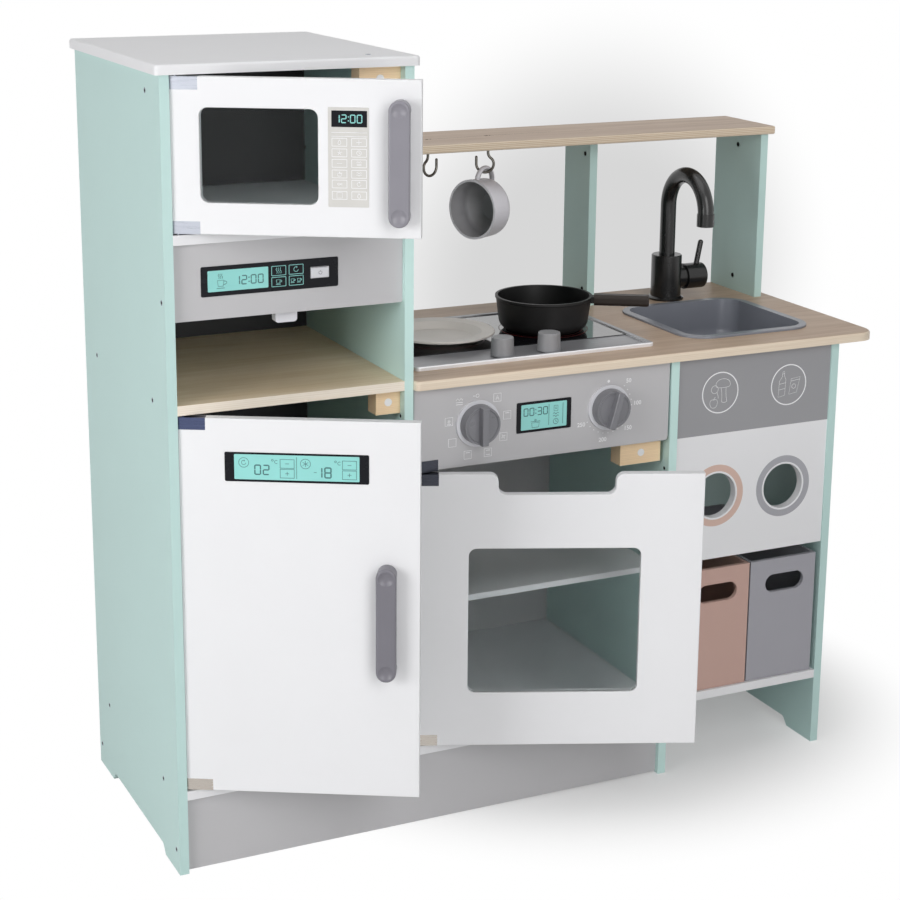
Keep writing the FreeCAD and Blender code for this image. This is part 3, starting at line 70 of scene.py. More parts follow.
def linear(text):
    """A colour written as six hex digits, as linear red, green and blue."""
    shades = [int(text[i:i + 2], 16) / 255 for i in (0, 2, 4)]
    return tuple(s / 12.92 if s <= 0.04045 else ((s + 0.055) / 1.055) ** 2.4 for s in shades)


def colour(name, text, description):
    """A colour setting."""
    return bpy.props.FloatVectorProperty(name=name, description=description, subtype="COLOR", size=3,
                                         min=0, max=1, default=linear(text))


def length(name, millimetres, description):
    """A length setting, given in millimetres and kept in metres."""
    return bpy.props.FloatProperty(name=name, description=description, unit="LENGTH", precision=5,
                                   default=millimetres * MM)


def power(name, watts, description):
    """A setting for a lamp's power."""
    return bpy.props.FloatProperty(name=name, description=description, unit="POWER", default=watts)


class KitchenColours(bpy.types.PropertyGroup):
    """Colours of the kitchen's finishes."""

    mint: colour("Mint", "C1DEDA", "Lacquer of the outer side panels")
    # Painted light: a lighter copy of the same mint lacquer, for the inner panels and the uprights.
    painted_light_mint: colour("Painted light mint", "CDEBE6", "Lacquer of the inner panels and the uprights")
    white: colour("White", "EBEBED", "Lacquer of the doors, the top and the inner shelves")
    grey: colour("Grey", "C2C1C3", "Lacquer of the coffee front, the oven front and the kick plate")
    waste_grey: colour("Waste grey", "9A9A9D", "Upper part of the waste board")
    dark_back: colour("Dark back", "17181B", "Back board of the tall unit")
    oak: colour("Oak", "CBB39D", "Broad grain of the worktop and the upper shelf")
    oak_dark: colour("Oak, dark grain", "AF937A", "Pores of the worktop and the upper shelf")
    # The niche's floor: a paler wood than the worktop, lightened further as painted light.
    birch_with_painted_light: colour("Birch", "FBE8CC", "Broad grain of the niche's floor")
    birch_dark_with_painted_light: colour("Birch, dark grain", "E5CCA5", "Fibres of the niche's floor")
    birch_edge_with_painted_light: colour("Birch edge", "F8EEDF", "Cut edge of the niche's floor")
    oak_edge: colour("Oak edge", "E9DAC6", "Cut edges of the worktop and the upper shelf")
    ply_dark: colour("Ply line", "C09F77", "Thin dark layers in the wooden boards' edges")
    pine: colour("Pine", "FADDB6", "Bare wood of the catch blocks")
    pink: colour("Pink", "C3A297", "Lacquer of the left bin")
    bin_grey: colour("Bin grey", "A3A2A9", "Lacquer of the right bin")
    ring_pink: colour("Ring pink", "D7B9AC", "Ring round the left waste hole")
    ring_grey: colour("Ring grey", "A9A9AF", "Ring round the right waste hole")
    silver: colour("Silver", "9C9CA0", "Upper face of the hob tray")
    # Painted highlight on the hob tray's upright edges.
    silver_painted_highlight: colour("Silver painted highlight", "F4F4F6", "Cut edges of the hob tray")
    sink: colour("Sink", "83868F", "Moulded sink")
    black: colour("Black", "1B1B1B", "Tap")
    pan: colour("Pan", "1D1C1C", "Outside of the pan")
    # Painted shade inside the pan.
    pan_painted_shade_inside: colour("Pan, painted shade inside", "070707", "Inside of the pan")
    pan_grip: colour("Pan handle", "2B2420", "Handle of the pan")
    plastic: colour("Plastic", "89878F", "Microwave handle")
    # Painted shade: a darker copy of the microwave handle's plastic, for the fridge handle.
    painted_shade_plastic: colour("Painted shade plastic", "76747C", "Fridge handle")
    knob: colour("Knob", "919194", "Hob knobs")
    dial: colour("Dial", "7C7C81", "Oven knobs")
    pale: colour("Pale plastic", "DFDFE4", "Coffee button, coffee nozzle and knob skirts")
    steel: colour("Steel", "A3A9B6", "Strike plates and screws")
    # Painted reflection: one steel, in a bright, a blue, a dark and a pale tone on the hinge leaves.
    painted_reflection_bright_steel: colour("Painted reflection bright steel", "B8BCC6", "Hinge leaves of the microwave door")
    painted_reflection_blue_steel: colour("Painted reflection blue steel", "525A78", "Upper hinge leaf of the fridge door")
    dark_steel: colour("Painted reflection dark steel", "44464E", "Upper hinge leaf and bracket of the oven door")
    painted_reflection_pale_steel: colour("Painted reflection pale steel", "BDB6AE", "Lower hinge leaves of the fridge door and the oven door")
    hook: colour("Hook", "6A6660", "Wire of the mug hooks")
    mug: colour("Mug", "ECEAF0", "Outside of the mug")
    # Painted shade inside the mug.
    mug_painted_shade_inside: colour("Mug, painted shade inside", "A4A3A6", "Inside of the mug")
    plate: colour("Plate", "DAD4CE", "Plate")
    bezel: colour("Bezel", "16171C", "Frames of the displays")
    # The screens are printed; this colour also gives them a faint painted glow.
    lcd: colour("Screen", "92D6D1", "Lit screens")
    ink: colour("Ink", "3F6F70", "Signs on the lit screens")
    print_white: colour("White print", "F4F4F6", "Printed signs and the catch magnets")
    keypad: colour("Keypad", "D3D1CD", "Keypad of the microwave")
    ember: colour("Ember", "5A0F0C", "Printed rings of the hob glass")


class KitchenSizes(bpy.types.PropertyGroup):
    """Sizes of the printed and laid-on pieces."""

    film: length("Film", 0.12, "Height of printed signs over their board")
    frame: length("Display frame", 0.6, "Thickness of the displays' frames")
    screen: length("Screen", 0.2, "Height of a screen over its frame")
    corner: length("Corner", 2.0, "Corner radius of the displays' frames")
    line: length("Line", 0.7, "Width of the printed lines")
    bold: length("Bold line", 0.95, "Width of the lines of the mode signs")
    sign: length("Sign", 29, "Radius of the round signs on the waste board")
    ring: length("Ring", 44, "Outer radius of the rings round the waste holes")
    ring_inside: length("Ring, inside", 34.6, "Inner radius of the rings round the waste holes")
    icon: length("Icon", 10.6, "Side of the oven's mode signs")
    icon_orbit: length("Icon orbit", 42, "Distance of the mode signs from their knob")
    scale_orbit: length("Scale orbit", 35.5, "Distance of the temperature dots from their knob")
    number_orbit: length("Number orbit", 44.6, "Distance of the temperature numbers from their knob")
    burner: length("Burner", 62, "Outer radius of the hob's printed rings")


class KitchenStage(bpy.types.PropertyGroup):
    """Camera, lamps and floor."""

    eye: bpy.props.FloatVectorProperty(name="Eye", description="Place of the camera", subtype="TRANSLATION",
                                       unit="LENGTH", default=(-1.1746, -2.28795, 1.2330))
    turn: bpy.props.FloatVectorProperty(name="Turn", description="Turn of the camera", subtype="EULER",
                                        default=[math.radians(a) for a in (76.0396, -0.4464, -25.269)])
    lens: bpy.props.FloatProperty(name="Lens", description="Focal length of the camera in millimetres",
                                  default=79.176)
    shift: bpy.props.FloatVectorProperty(name="Shift", description="Shift of the picture", size=2,
                                         default=(0.00178, -0.10278))
    key: power("Key", 37, "Power of the lamp in front")
    side: power("Side", 31.5, "Power of the lamp on the left")
    top: power("Top", 19, "Power of the lamp overhead")
    sky: bpy.props.FloatProperty(name="Sky", description="Strength of the even light from all round",
                                 default=0.13)


def clear():
    """Leave edit mode and let go of all that is selected."""
    held = bpy.context.view_layer.objects.active
    if held and held.mode != "OBJECT":
        bpy.ops.object.mode_set(mode="OBJECT")
    bpy.ops.object.select_all(action="DESELECT")


def hold(pieces):
    """Select some pieces, the first as the active one."""
    clear()
    for piece in pieces:
        piece.select_set(True)
    bpy.context.view_layer.objects.active = pieces[0]


def settle():
    """Apply the place, turn and scale of what is selected."""
    bpy.ops.object.transform_apply(location=True, rotation=True, scale=True)


def discard(piece):
    """Delete a piece."""
    hold([piece])
    bpy.ops.object.delete()


def twin(model):
    """A copy of a piece, selected."""
    hold([model])
    bpy.ops.object.duplicate(linked=False)
    return bpy.context.object


def paint(piece, finish):
    """Give a piece one finish."""
    piece.data.materials.clear()
    piece.data.materials.append(finish)
    return piece


def rise(thick, line):
    """In edit mode, keep only an outline of a flat shape if a line is given, and raise it off the board."""
    bpy.ops.mesh.select_all(action="SELECT")
    if line:
        bpy.ops.mesh.inset(thickness=line)
        bpy.ops.mesh.delete(type="FACE")
        bpy.ops.mesh.select_all(action="SELECT")
    bpy.ops.mesh.extrude_region_move(TRANSFORM_OT_translate={"value": (0, 0, thick)})
    bpy.ops.mesh.select_all(action="SELECT")
    bpy.ops.mesh.normals_make_consistent(inside=False)
    bpy.ops.object.mode_set(mode="OBJECT")


def soften(piece, width):
    """Round the edges of a flat part."""
    hold([piece])
    bpy.ops.object.modifier_add(type="BEVEL")
    bevel = piece.modifiers[-1]
    bevel.width, bevel.segments = width * MM, 2
    bpy.ops.object.modifier_apply(modifier=bevel.name)
    return piece


def cut(piece, tool):
    """Take one flat part's shape out of another."""
    hold([piece])
    bpy.ops.object.modifier_add(type="BOOLEAN")
    taken = piece.modifiers[-1]
    taken.operation, taken.object = "DIFFERENCE", tool
    bpy.ops.object.modifier_apply(modifier=taken.name)
    discard(tool)


def copies(model, places):
    """Copies of a flat part, each moved by an offset in millimetres, in place of the part itself."""
    parts = []
    for x, y in places:
        parts.append(twin(model))
        bpy.ops.transform.translate(value=(x * MM, y * MM, 0))
        settle()
    discard(model)
    return parts


def plate(box, level, thick, finish, corner=0.0, line=0.0):
    """A flat plate, or its outline, in millimetres: left, right, low and high, with rounded corners."""
    left, right, low, high = [value * MM for value in box]
    clear()
    bpy.ops.mesh.primitive_plane_add(size=1, location=((left + right) / 2, (low + high) / 2, level * MM))
    piece = bpy.context.object
    piece.scale = (right - left, high - low, 1)
    settle()
    bpy.ops.object.mode_set(mode="EDIT")
    bpy.ops.mesh.select_all(action="SELECT")
    if corner:
        bpy.ops.mesh.bevel(offset=corner * MM, segments=6, affect="VERTICES")
    rise(thick * MM, line * MM)
    return paint(piece, finish)


def disc(centre, radius, level, thick, finish, line=0.0, sides=LARGE_ROUND):
    """A flat disc, or a ring of a given line width, in millimetres."""
    clear()
    bpy.ops.mesh.primitive_circle_add(vertices=sides, radius=radius * MM, fill_type="NGON",
                                      location=(centre[0] * MM, centre[1] * MM, level * MM))
    piece = bpy.context.object
    settle()
    bpy.ops.object.mode_set(mode="EDIT")
    rise(thick * MM, line * MM)
    return paint(piece, finish)


def draw(lines, width, level, finish):
    """Lines in millimetres, flattened to a film; each is its points, if it closes and if it is soft."""
    clear()
    bpy.ops.curve.primitive_bezier_curve_add(location=(0, 0, 0))
    drawn = bpy.context.object.data
    drawn.splines.clear()
    for points, closed, soft in lines:
        spline = drawn.splines.new("NURBS" if soft else "POLY")
        spline.points.add(len(points) - 1)
        for point, (x, y) in zip(spline.points, points):
            point.co = (x * MM, y * MM, 0, 1)
        spline.use_cyclic_u = closed
        if soft:
            spline.order_u = 3
            spline.use_endpoint_u = not closed
            spline.resolution_u = 4
    drawn.bevel_depth = width / 2 * MM
    drawn.bevel_resolution = 1
    drawn.use_fill_caps = True
    bpy.ops.object.convert(target="MESH")
    piece = bpy.context.object
    piece.scale = (1, 1, FLATTENED)
    piece.location = (0, 0, level * MM)
    settle()
    return paint(piece, finish)


def word(text, height, centre, level, thick, finish):
    """Printed figures, in millimetres."""
    clear()
    bpy.ops.object.text_add(location=(0, 0, 0))
    piece = bpy.context.object
    piece.data.body = text
    piece.data.size = height * MM
    piece.data.align_x = "CENTER"
    piece.data.align_y = "CENTER"
    piece.data.extrude = thick / 2 * MM
    piece.data.offset = height * WEIGHT * MM
    piece.data.resolution_u = 3
    bpy.ops.object.convert(target="MESH")
    piece = bpy.context.object
    piece.location = (centre[0] * MM, centre[1] * MM, (level + thick / 2) * MM)
    settle()
    return paint(piece, finish)


SEGMENTS = {"0": "abcdef", "1": "bc", "2": "abged", "3": "abgcd", "8": "abcdefg"}
SEGMENT_PLACES = {"a": (0, 1, 0), "b": (0.5, 0.5, 1), "c": (0.5, -0.5, 1), "d": (0, -1, 0),
                  "e": (-0.5, -0.5, 1), "f": (-0.5, 0.5, 1), "g": (0, 0, 0)}
# Shares of a figure's height: thickness of a bar, width of a figure, gap after it and room for a colon.
BAR, FIGURE, GAP, COLON = 0.12, 0.52, 0.26, 0.24
FIGURE_FILM = 0.1


def figures(text, height, left, middle, level, finish):
    """Figures of a segment display: one bar is modelled and copied to each lit place."""
    bar, wide = height * BAR, height * FIGURE
    half = (height - bar) / 2
    end = half / 2 - bar * 0.1
    model = plate((-end, end, -bar / 2, bar / 2), level, FIGURE_FILM, finish, corner=bar * 0.45)
    parts = []
    for mark in text:
        if mark == ":":
            dot = disc((left, middle), bar * 0.62, level, FIGURE_FILM, finish, sides=12)
            parts += copies(dot, [(0, -half / 2), (0, half / 2)])
            left += height * COLON
            continue
        for letter in SEGMENTS[mark]:
            x, y, upright = SEGMENT_PLACES[letter]
            copy = twin(model)
            copy.rotation_euler = (0, 0, math.pi / 2 * upright)
            copy.location = ((left + wide / 2 + x * wide) * MM, (middle + y * half) * MM, 0)
            copy.scale = (1 if upright else wide / half, 1, 1)
            settle()
            parts.append(copy)
        left += wide + height * GAP
    discard(model)
    return parts


def lay(parts, name, sheet, body):
    """Join flat parts to one piece, lay it on its board and let it move with a body."""
    hold(parts)
    if len(parts) > 1:
        bpy.ops.object.join()
    piece = bpy.context.object
    piece.name = piece.data.name = name
    piece.matrix_world = sheet
    settle()
    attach(piece, body)


def sheet(origin, right, up):
    """The place of a flat drawing: its origin and the directions of its right and upper sides."""
    right, up = Vector(right), Vector(up)
    columns = Matrix((right, up, right.cross(up))).transposed().to_4x4()
    columns.translation = Vector(origin)
    return columns


def front(setback):
    """A drawing on a board that faces the front, at a setback from the panels' front edges."""
    return sheet(CORNER + Vector((0, setback * MM, 0)), (1, 0, 0), (0, 0, 1))


def flat(level):
    """A drawing on a level board."""
    return sheet(CORNER + Vector((0, 0, level * MM)), (1, 0, 0), (0, 1, 0))


def side(x, way):
    """A drawing on a board's side that faces right, or left if way is -1 and places are counted as -y."""
    return sheet(CORNER + Vector((x * MM, 0, 0)), (0, way, 0), (0, 0, 1))


def door(joint):
    """A drawing on the front of a door that stands ajar, counted from the door's hinge edge and the floor."""
    hinge = JOINTS[joint]
    turn = math.radians(hinge["range_deg"][0])
    right = Vector((math.cos(turn), math.sin(turn), 0))
    out = right.cross(Vector((0, 0, 1)))
    pin = Vector(hinge["pos_m"])
    origin = Vector((pin.x, pin.y, 0)) - right * PIN_TO_EDGE * MM + out * PIN_TO_FACE * MM
    return sheet(origin, right, (0, 0, 1))


def node(tree, kind, links=(), **values):
    """Add a node; values set its properties, links its inputs, by number or name, to sockets or constants."""
    made = tree.nodes.new(kind)
    for name, value in values.items():
        setattr(made, name, value)
    for name, source in dict(links).items():
        if isinstance(source, bpy.types.NodeSocket):
            tree.links.new(source, made.inputs[name])
        else:
            made.inputs[name].default_value = source
    return made


def noise(tree, place, scale, detail=3.0, roughness=0.55):
    """Fine or coarse noise on given coordinates."""
    return node(tree, "ShaderNodeTexNoise", {"Vector": place, "Scale": scale, "Detail": detail,
                                             "Roughness": roughness}).outputs["Fac"]


def stretch(tree, place, scale):
    """Coordinates stretched along an axis, so that noise on them becomes fibres."""
    return node(tree, "ShaderNodeMapping", {"Vector": place, "Scale": scale}).outputs["Vector"]


def span(tree, value, low, high, start=0.3, end=0.7):
    """A value carried over from one range to another."""
    return node(tree, "ShaderNodeMapRange", {"Value": value, "From Min": start, "From Max": end,
                                             "To Min": low, "To Max": high}).outputs["Result"]


def blend(tree, factor, first, second, way="MIX"):
    """One colour laid over another."""
    return node(tree, "ShaderNodeMix", {0: factor, 6: first, 7: second}, data_type="RGBA",
                blend_type=way).outputs[2]


def sum_of(tree, kind, first, second=0.0):
    """Two values put together, or one value changed."""
    return node(tree, "ShaderNodeMath", {0: first, 1: second}, operation=kind).outputs[0]


def vector(tree, kind, first, second=(0, 0, 0), output=0):
    """Two vectors put together, or one vector measured."""
    return node(tree, "ShaderNodeVectorMath", {0: first, 1: second}, operation=kind).outputs[output]


def spot(tree):
    """A piece's own coordinates."""
    return node(tree, "ShaderNodeTexCoord").outputs["Object"]


def height_of(tree, place):
    """Height of a place or slope of a normal."""
    return node(tree, "ShaderNodeSeparateXYZ", {0: place}).outputs["Z"]


def facing_up(tree):
    """One on level faces, nought on upright edges."""
    slope = height_of(tree, node(tree, "ShaderNodeNewGeometry").outputs["True Normal"])
    return span(tree, sum_of(tree, "ABSOLUTE", slope), 0, 1, 0.75, 0.95)


def effect(name, **inputs):
    """An empty shared effect that gives a colour, a roughness and a normal, and what it is given."""
    group = bpy.data.node_groups.new(name, "ShaderNodeTree")
    for label, value in inputs.items():
        kind = {float: "Float", 3: "Vector", 4: "Color"}[len(value) if isinstance(value, tuple) else float]
        made = group.interface.new_socket(name=label, in_out="INPUT", socket_type="NodeSocket" + kind)
        made.default_value = value
    for label, kind in (("Colour", "Color"), ("Roughness", "Float"), ("Normal", "Vector")):
        group.interface.new_socket(name=label, in_out="OUTPUT", socket_type="NodeSocket" + kind)
    return group, group.nodes.new("NodeGroupInput").outputs


def close(tree, tint, roughness, bump, invert=False):
    """Link what an effect gives; the bump is its strength, its distance and its height."""
    strength, distance, height = bump
    raised = node(tree, "ShaderNodeBump", {"Strength": strength, "Distance": distance, "Height": height},
                  invert=invert)
    node(tree, "NodeGroupOutput", {"Colour": tint, "Roughness": roughness, "Normal": raised.outputs[0]})
    return tree


def lacquer_effect():
    """Sprayed lacquer on board: faint clouds in the colour, a fine peel and uneven gloss."""
    tree, given = effect("Sprayed lacquer", Colour=(0.8, 0.8, 0.8, 1), Clouds=0.05, Gloss=0.42, Peel=0.04)
    place = spot(tree)
    clouds = sum_of(tree, "MULTIPLY", span(tree, noise(tree, place, 7), 0, 1), given["Clouds"])
    tint = blend(tree, clouds, given["Colour"], (0.62, 0.62, 0.62, 1), "MULTIPLY")
    uneven = span(tree, noise(tree, place, 260, 2), 0, 0.06)
    return close(tree, tint, sum_of(tree, "ADD", given["Gloss"], uneven),
                 (given["Peel"], 0.0004, noise(tree, place, 900, 2)))


def veneer_effect():
    """Wood-grain sheet: fibres and pores along X on the faces, thin layers on the bare cut edges."""
    tree, given = effect("Wood-grain sheet", Wood=(0.5, 0.4, 0.3, 1), Pores=(0.3, 0.2, 0.1, 1),
                         Edge=(0.8, 0.7, 0.6, 1), Layer=(0.5, 0.35, 0.2, 1), Layers=0.3)
    place = spot(tree)
    warp = vector(tree, "MULTIPLY", noise(tree, stretch(tree, place, (1.2, 5, 5)), 3), (0, 0.05, 0.05))
    shifted = vector(tree, "ADD", place, warp)
    broad = span(tree, noise(tree, stretch(tree, shifted, (1.0, 26, 26)), 2.2, 4), 0, 1, 0.35, 0.68)
    fibres = span(tree, noise(tree, stretch(tree, place, (3, 160, 160)), 3, 4, 0.7), 0, 1, 0.4, 0.75)
    grain = sum_of(tree, "ADD", sum_of(tree, "MULTIPLY", broad, 0.55), sum_of(tree, "MULTIPLY", fibres, 0.45))
    face = blend(tree, grain, given["Wood"], given["Pores"])
    bands = sum_of(tree, "SINE", sum_of(tree, "MULTIPLY", height_of(tree, place), 2600))
    layers = sum_of(tree, "MULTIPLY", span(tree, bands, 0, 1, 0.2, 0.9), given["Layers"])
    rim = blend(tree, layers, given["Edge"], given["Layer"])
    rim = blend(tree, sum_of(tree, "MULTIPLY", fibres, 0.18), rim, given["Layer"])
    return close(tree, blend(tree, facing_up(tree), rim, face), span(tree, fibres, 0.40, 0.52, 0, 1),
                 (0.12, 0.0003, grain), invert=True)


def moulded_effect():
    """Moulded plastic: a fine sparked skin, faint flow clouds and uneven gloss."""
    tree, given = effect("Moulded skin", Colour=(0.5, 0.5, 0.5, 1), Gloss=0.4, Skin=0.08)
    place = spot(tree)
    flow = span(tree, noise(tree, place, 22, 3), 0, 0.12)
    tint = blend(tree, flow, given["Colour"], (0.55, 0.55, 0.55, 1), "MULTIPLY")
    rub = span(tree, noise(tree, place, 60, 4), -0.03, 0.04)
    return close(tree, tint, sum_of(tree, "ADD", given["Gloss"], rub),
                 (given["Skin"], 0.0002, noise(tree, place, 1800, 2)))


def brushed_effect():
    """Rolled metal: hair lines and uneven gloss; the grain sets the way the lines run."""
    tree, given = effect("Rolled metal", Colour=(0.7, 0.7, 0.7, 1), Gloss=0.3, Lines=0.05, Grain=(6, 6, 260))
    place = spot(tree)
    lines = noise(tree, stretch(tree, place, given["Grain"]), 3, 3)
    stain = span(tree, noise(tree, place, 40, 3), 0, 0.12)
    tint = blend(tree, stain, given["Colour"], (0.6, 0.6, 0.62, 1), "MULTIPLY")
    return close(tree, tint, sum_of(tree, "ADD", given["Gloss"], span(tree, lines, -0.06, 0.08)),
                 (given["Lines"], 0.0002, lines))


EFFECTS = {}
FINISHES = {}


def finish(name, effect_name, values, **surface):
    """A material whose colour, gloss and bump come from a shared effect; surface sets plain shader values."""
    material = bpy.data.materials.new(name)
    material.use_nodes = True
    tree = material.node_tree
    shader = tree.nodes["Principled BSDF"]
    used = node(tree, "ShaderNodeGroup", node_tree=EFFECTS[effect_name])
    for label, value in values.items():
        used.inputs[label].default_value = (*value, 1) if used.inputs[label].type == "RGBA" else value
    for place, label in (("Base Color", "Colour"), ("Roughness", "Roughness"), ("Normal", "Normal")):
        tree.links.new(used.outputs[label], shader.inputs[place])
    for label, value in surface.items():
        shader.inputs[label.replace("_", " ")].default_value = value
    FINISHES[name] = material
    return material


def two_tone(material, factor, first, second):
    """Let a value lead a finish from one colour to another."""
    tree = material.node_tree
    used = next(n for n in tree.nodes if n.type == "GROUP")
    tree.links.new(blend(tree, factor, (*first, 1), (*second, 1)), used.inputs["Colour"])


def waste_finish(colours):
    """White lacquer with a grey upper part, as the waste board has."""
    material = finish("waste board lacquer", "lacquer", {"Gloss": 0.42}, Specular_IOR_Level=0.4)
    tree = material.node_tree
    above = sum_of(tree, "GREATER_THAN", height_of(tree, spot(tree)), WASTE_SPLIT * MM)
    two_tone(material, above, colours.white, colours.waste_grey)


def hinge_finish(name, upper, lower):
    """Rolled steel of a door's two hinge leaves, in painted reflection: the upper leaf darker, the lower pale."""
    material = finish(name, "brushed", {"Gloss": 0.28, "Lines": 0.03}, Metallic=1.0)
    tree = material.node_tree
    two_tone(material, span(tree, height_of(tree, spot(tree)), 0, 1, 0.25, 0.4), lower, upper)


def hob_finish(colours):
    """Rolled silver sheet with a painted highlight on its upright cut edges."""
    values = {"Gloss": 0.34, "Lines": 0.03, "Grain": (4, 420, 420)}
    material = finish("hob silver", "brushed", values, Metallic=0.4)
    two_tone(material, facing_up(material.node_tree), colours.silver_painted_highlight, colours.silver)


def hollow_finish(name, vessel, outside, inside, values, shine):
    """Moulded skin of a vessel, with painted shade in another colour on all that faces the vessel's own middle."""
    material = finish(name, "moulded", values, Specular_IOR_Level=shine)
    tree = material.node_tree
    low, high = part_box(vessel)
    place = node(tree, "ShaderNodeTexCoord").outputs
    away = vector(tree, "SUBTRACT", place["Object"], (low + high) / 2)
    facing = vector(tree, "DOT_PRODUCT", place["Normal"], away, "Value")
    # Painted shade on the faces turned towards the vessel's middle.
    two_tone(material, sum_of(tree, "LESS_THAN", facing), outside, inside)


def screen_finish(colours):
    """A printed screen: turquoise with a faint lattice of cells and a faint painted glow."""
    values = {"Colour": colours.lcd, "Gloss": 0.22, "Skin": 0.02}
    # Painted glow: the printed screen gives off a faint light of its own.
    tree = finish("lit screen", "moulded", values, Emission_Strength=0.06).node_tree
    cells = span(tree, noise(tree, spot(tree), 420, 1), 0, 0.15)
    tree.links.new(blend(tree, cells, (*colours.lcd, 1), (0.2, 0.5, 0.5, 1)),
                   tree.nodes["Principled BSDF"].inputs["Emission Color"])


class KITCHEN_OT_finishes(bpy.types.Operator):
    """Make the finishes and give each board and fitting its own"""

    bl_idname = "kitchen.finishes"
    bl_label = "Boards and fittings"

    def execute(self, context):
        c = context.scene.kitchen_colours
        EFFECTS.update(lacquer=lacquer_effect(), veneer=veneer_effect(), moulded=moulded_effect(),
                       brushed=brushed_effect())
        for name, tint in (("mint", c.mint), ("pale mint", c.painted_light_mint), ("white", c.white), ("grey", c.grey),
                           ("dark back", c.dark_back), ("pink", c.pink), ("bin grey", c.bin_grey)):
            finish(name + " lacquer", "lacquer", {"Colour": tint}, Specular_IOR_Level=0.4)
        waste_finish(c)
        oak = {"Wood": c.oak, "Pores": c.oak_dark, "Edge": c.oak_edge, "Layer": c.ply_dark}
        finish("oak worktop", "veneer", {**oak, "Layers": 0.12}, Specular_IOR_Level=0.35)
        # Painted light: the niche's floor takes a lightened copy of its wood.
        finish("niche veneer", "veneer", {"Wood": c.birch_with_painted_light, "Pores": c.birch_dark_with_painted_light, "Edge": c.birch_edge_with_painted_light,
                                          "Layer": c.ply_dark, "Layers": 0.12}, Specular_IOR_Level=0.35)
        finish("oak ply shelf", "veneer", {**oak, "Layers": 0.75}, Specular_IOR_Level=0.35)
        finish("bare pine", "veneer", {"Wood": c.pine, "Pores": c.ply_dark, "Edge": c.pine,
                                       "Layer": c.ply_dark, "Layers": 0.1}, Specular_IOR_Level=0.3)
        for name, tint, gloss, skin, shine in (
                ("grey plastic", c.plastic, 0.36, 0.08, 0.5),
                ("shaded plastic", c.painted_shade_plastic, 0.36, 0.08, 0.5),
                ("dial plastic", c.dial, 0.3, 0.08, 0.55), ("pale plastic", c.pale, 0.35, 0.05, 0.5),
                ("sink plastic", c.sink, 0.32, 0.06, 0.5), ("black plastic", c.black, 0.24, 0.01, 0.5),
                ("pan grip", c.pan_grip, 0.42, 0.1, 0.22), ("knob grey", c.knob, 0.4, 0.04, 0.5),
                ("plate beige", c.plate, 0.45, 0.06, 0.5), ("bezel black", c.bezel, 0.25, 0.03, 0.15),
                ("screen ink", c.ink, 0.4, 0.02, 0.5), ("white print", c.print_white, 0.45, 0.02, 0.5),
                ("keypad", c.keypad, 0.42, 0.03, 0.4), ("lit line", c.lcd, 0.35, 0.02, 0.5),
                ("ring pink", c.ring_pink, 0.42, 0.03, 0.4), ("ring grey", c.ring_grey, 0.42, 0.03, 0.4),
                ("ember print", c.ember, 0.3, 0.02, 0.4),
                ("hole shadow", (0.01, 0.012, 0.012), 0.8, 0.05, 0.1)):
            finish(name, "moulded", {"Colour": tint, "Gloss": gloss, "Skin": skin}, Specular_IOR_Level=shine)
        finish("hob glass", "moulded", {"Colour": (0.006, 0.006, 0.008), "Gloss": 0.1, "Skin": 0.0},
               Specular_IOR_Level=0.6, Coat_Weight=0.4)
        hob_finish(c)
        hollow_finish("mug grey", "mug", c.mug, c.mug_painted_shade_inside, {"Gloss": 0.42, "Skin": 0.03}, 0.5)
        hollow_finish("pan black", "pan", c.pan, c.pan_painted_shade_inside, {"Gloss": 0.44, "Skin": 0.06}, 0.25)
        for name, tint, gloss in (("plain steel", c.steel, 0.24), ("bright steel", c.painted_reflection_bright_steel, 0.3),
                                  ("hook wire", c.hook, 0.25)):
            finish(name, "brushed", {"Colour": tint, "Gloss": gloss, "Lines": 0.03}, Metallic=1.0)
        hinge_finish("blue steel", c.painted_reflection_blue_steel, c.painted_reflection_pale_steel)
        hinge_finish("dark steel", c.dark_steel, c.painted_reflection_pale_steel)
        finish("clear acrylic", "moulded", {"Colour": (0.93, 0.96, 0.96), "Gloss": 0.06, "Skin": 0.0},
               Transmission_Weight=1.0, IOR=1.2)
        screen_finish(c)
        for part in frame["record"]["subparts"]:
            name = NODE_FINISHES.get(part["node"], SLOT_FINISHES[part["material_slot"]])
            paint(frame["nodes"][part["node"]], FINISHES[name])
        return {"FINISHED"}


SLOT_FINISHES = {
    "mint_paint": "mint lacquer", "white_paint": "white lacquer", "grey_paint": "grey lacquer",
    "waste_paint": "waste board lacquer", "black_paint": "dark back lacquer", "wood_top": "oak worktop",
    "bare_wood": "bare pine", "pink_paint": "pink lacquer", "bin_grey_paint": "bin grey lacquer",
    "clear_acrylic": "clear acrylic", "black_glass": "hob glass", "hob_silver": "hob silver",
    "sink_grey": "sink plastic", "black_plastic": "black plastic", "grey_plastic": "grey plastic",
    "pale_plastic": "pale plastic", "steel": "plain steel", "dark_steel": "hook wire", "mug_grey": "mug grey",
    "plate_beige": "plate beige", "pan_black": "pan black", "pan_grip": "pan grip",
}
NODE_FINISHES = {part: name for name, parts in {
    # The inner panels and uprights take the lighter mint copy, as painted light.
    "pale mint lacquer": ("tall_right_panel", "divider_panel", "middle_upright", "right_upright"),
    "niche veneer": ("niche_shelf",), "oak ply shelf": ("upper_shelf",), "white print": ("catch_magnets",),
    "dial plastic": ("mode_knob", "temperature_knob"), "knob grey": ("left_hob_knob", "right_hob_knob"),
    # Painted reflection: the hinge leaves take tones of one steel.
    # Painted shade: the fridge handle takes a darker copy of the handle plastic.
    "shaded plastic": ("fridge_handle",), "bright steel": ("microwave_door_hinges",),
    "blue steel": ("fridge_door_hinges",), "dark steel": ("oven_door_hinges", "oven_hinge_bracket"),
}.items() for part in parts}


def line(*points):
    """A straight or broken line of a sign."""
    return list(points), False, False


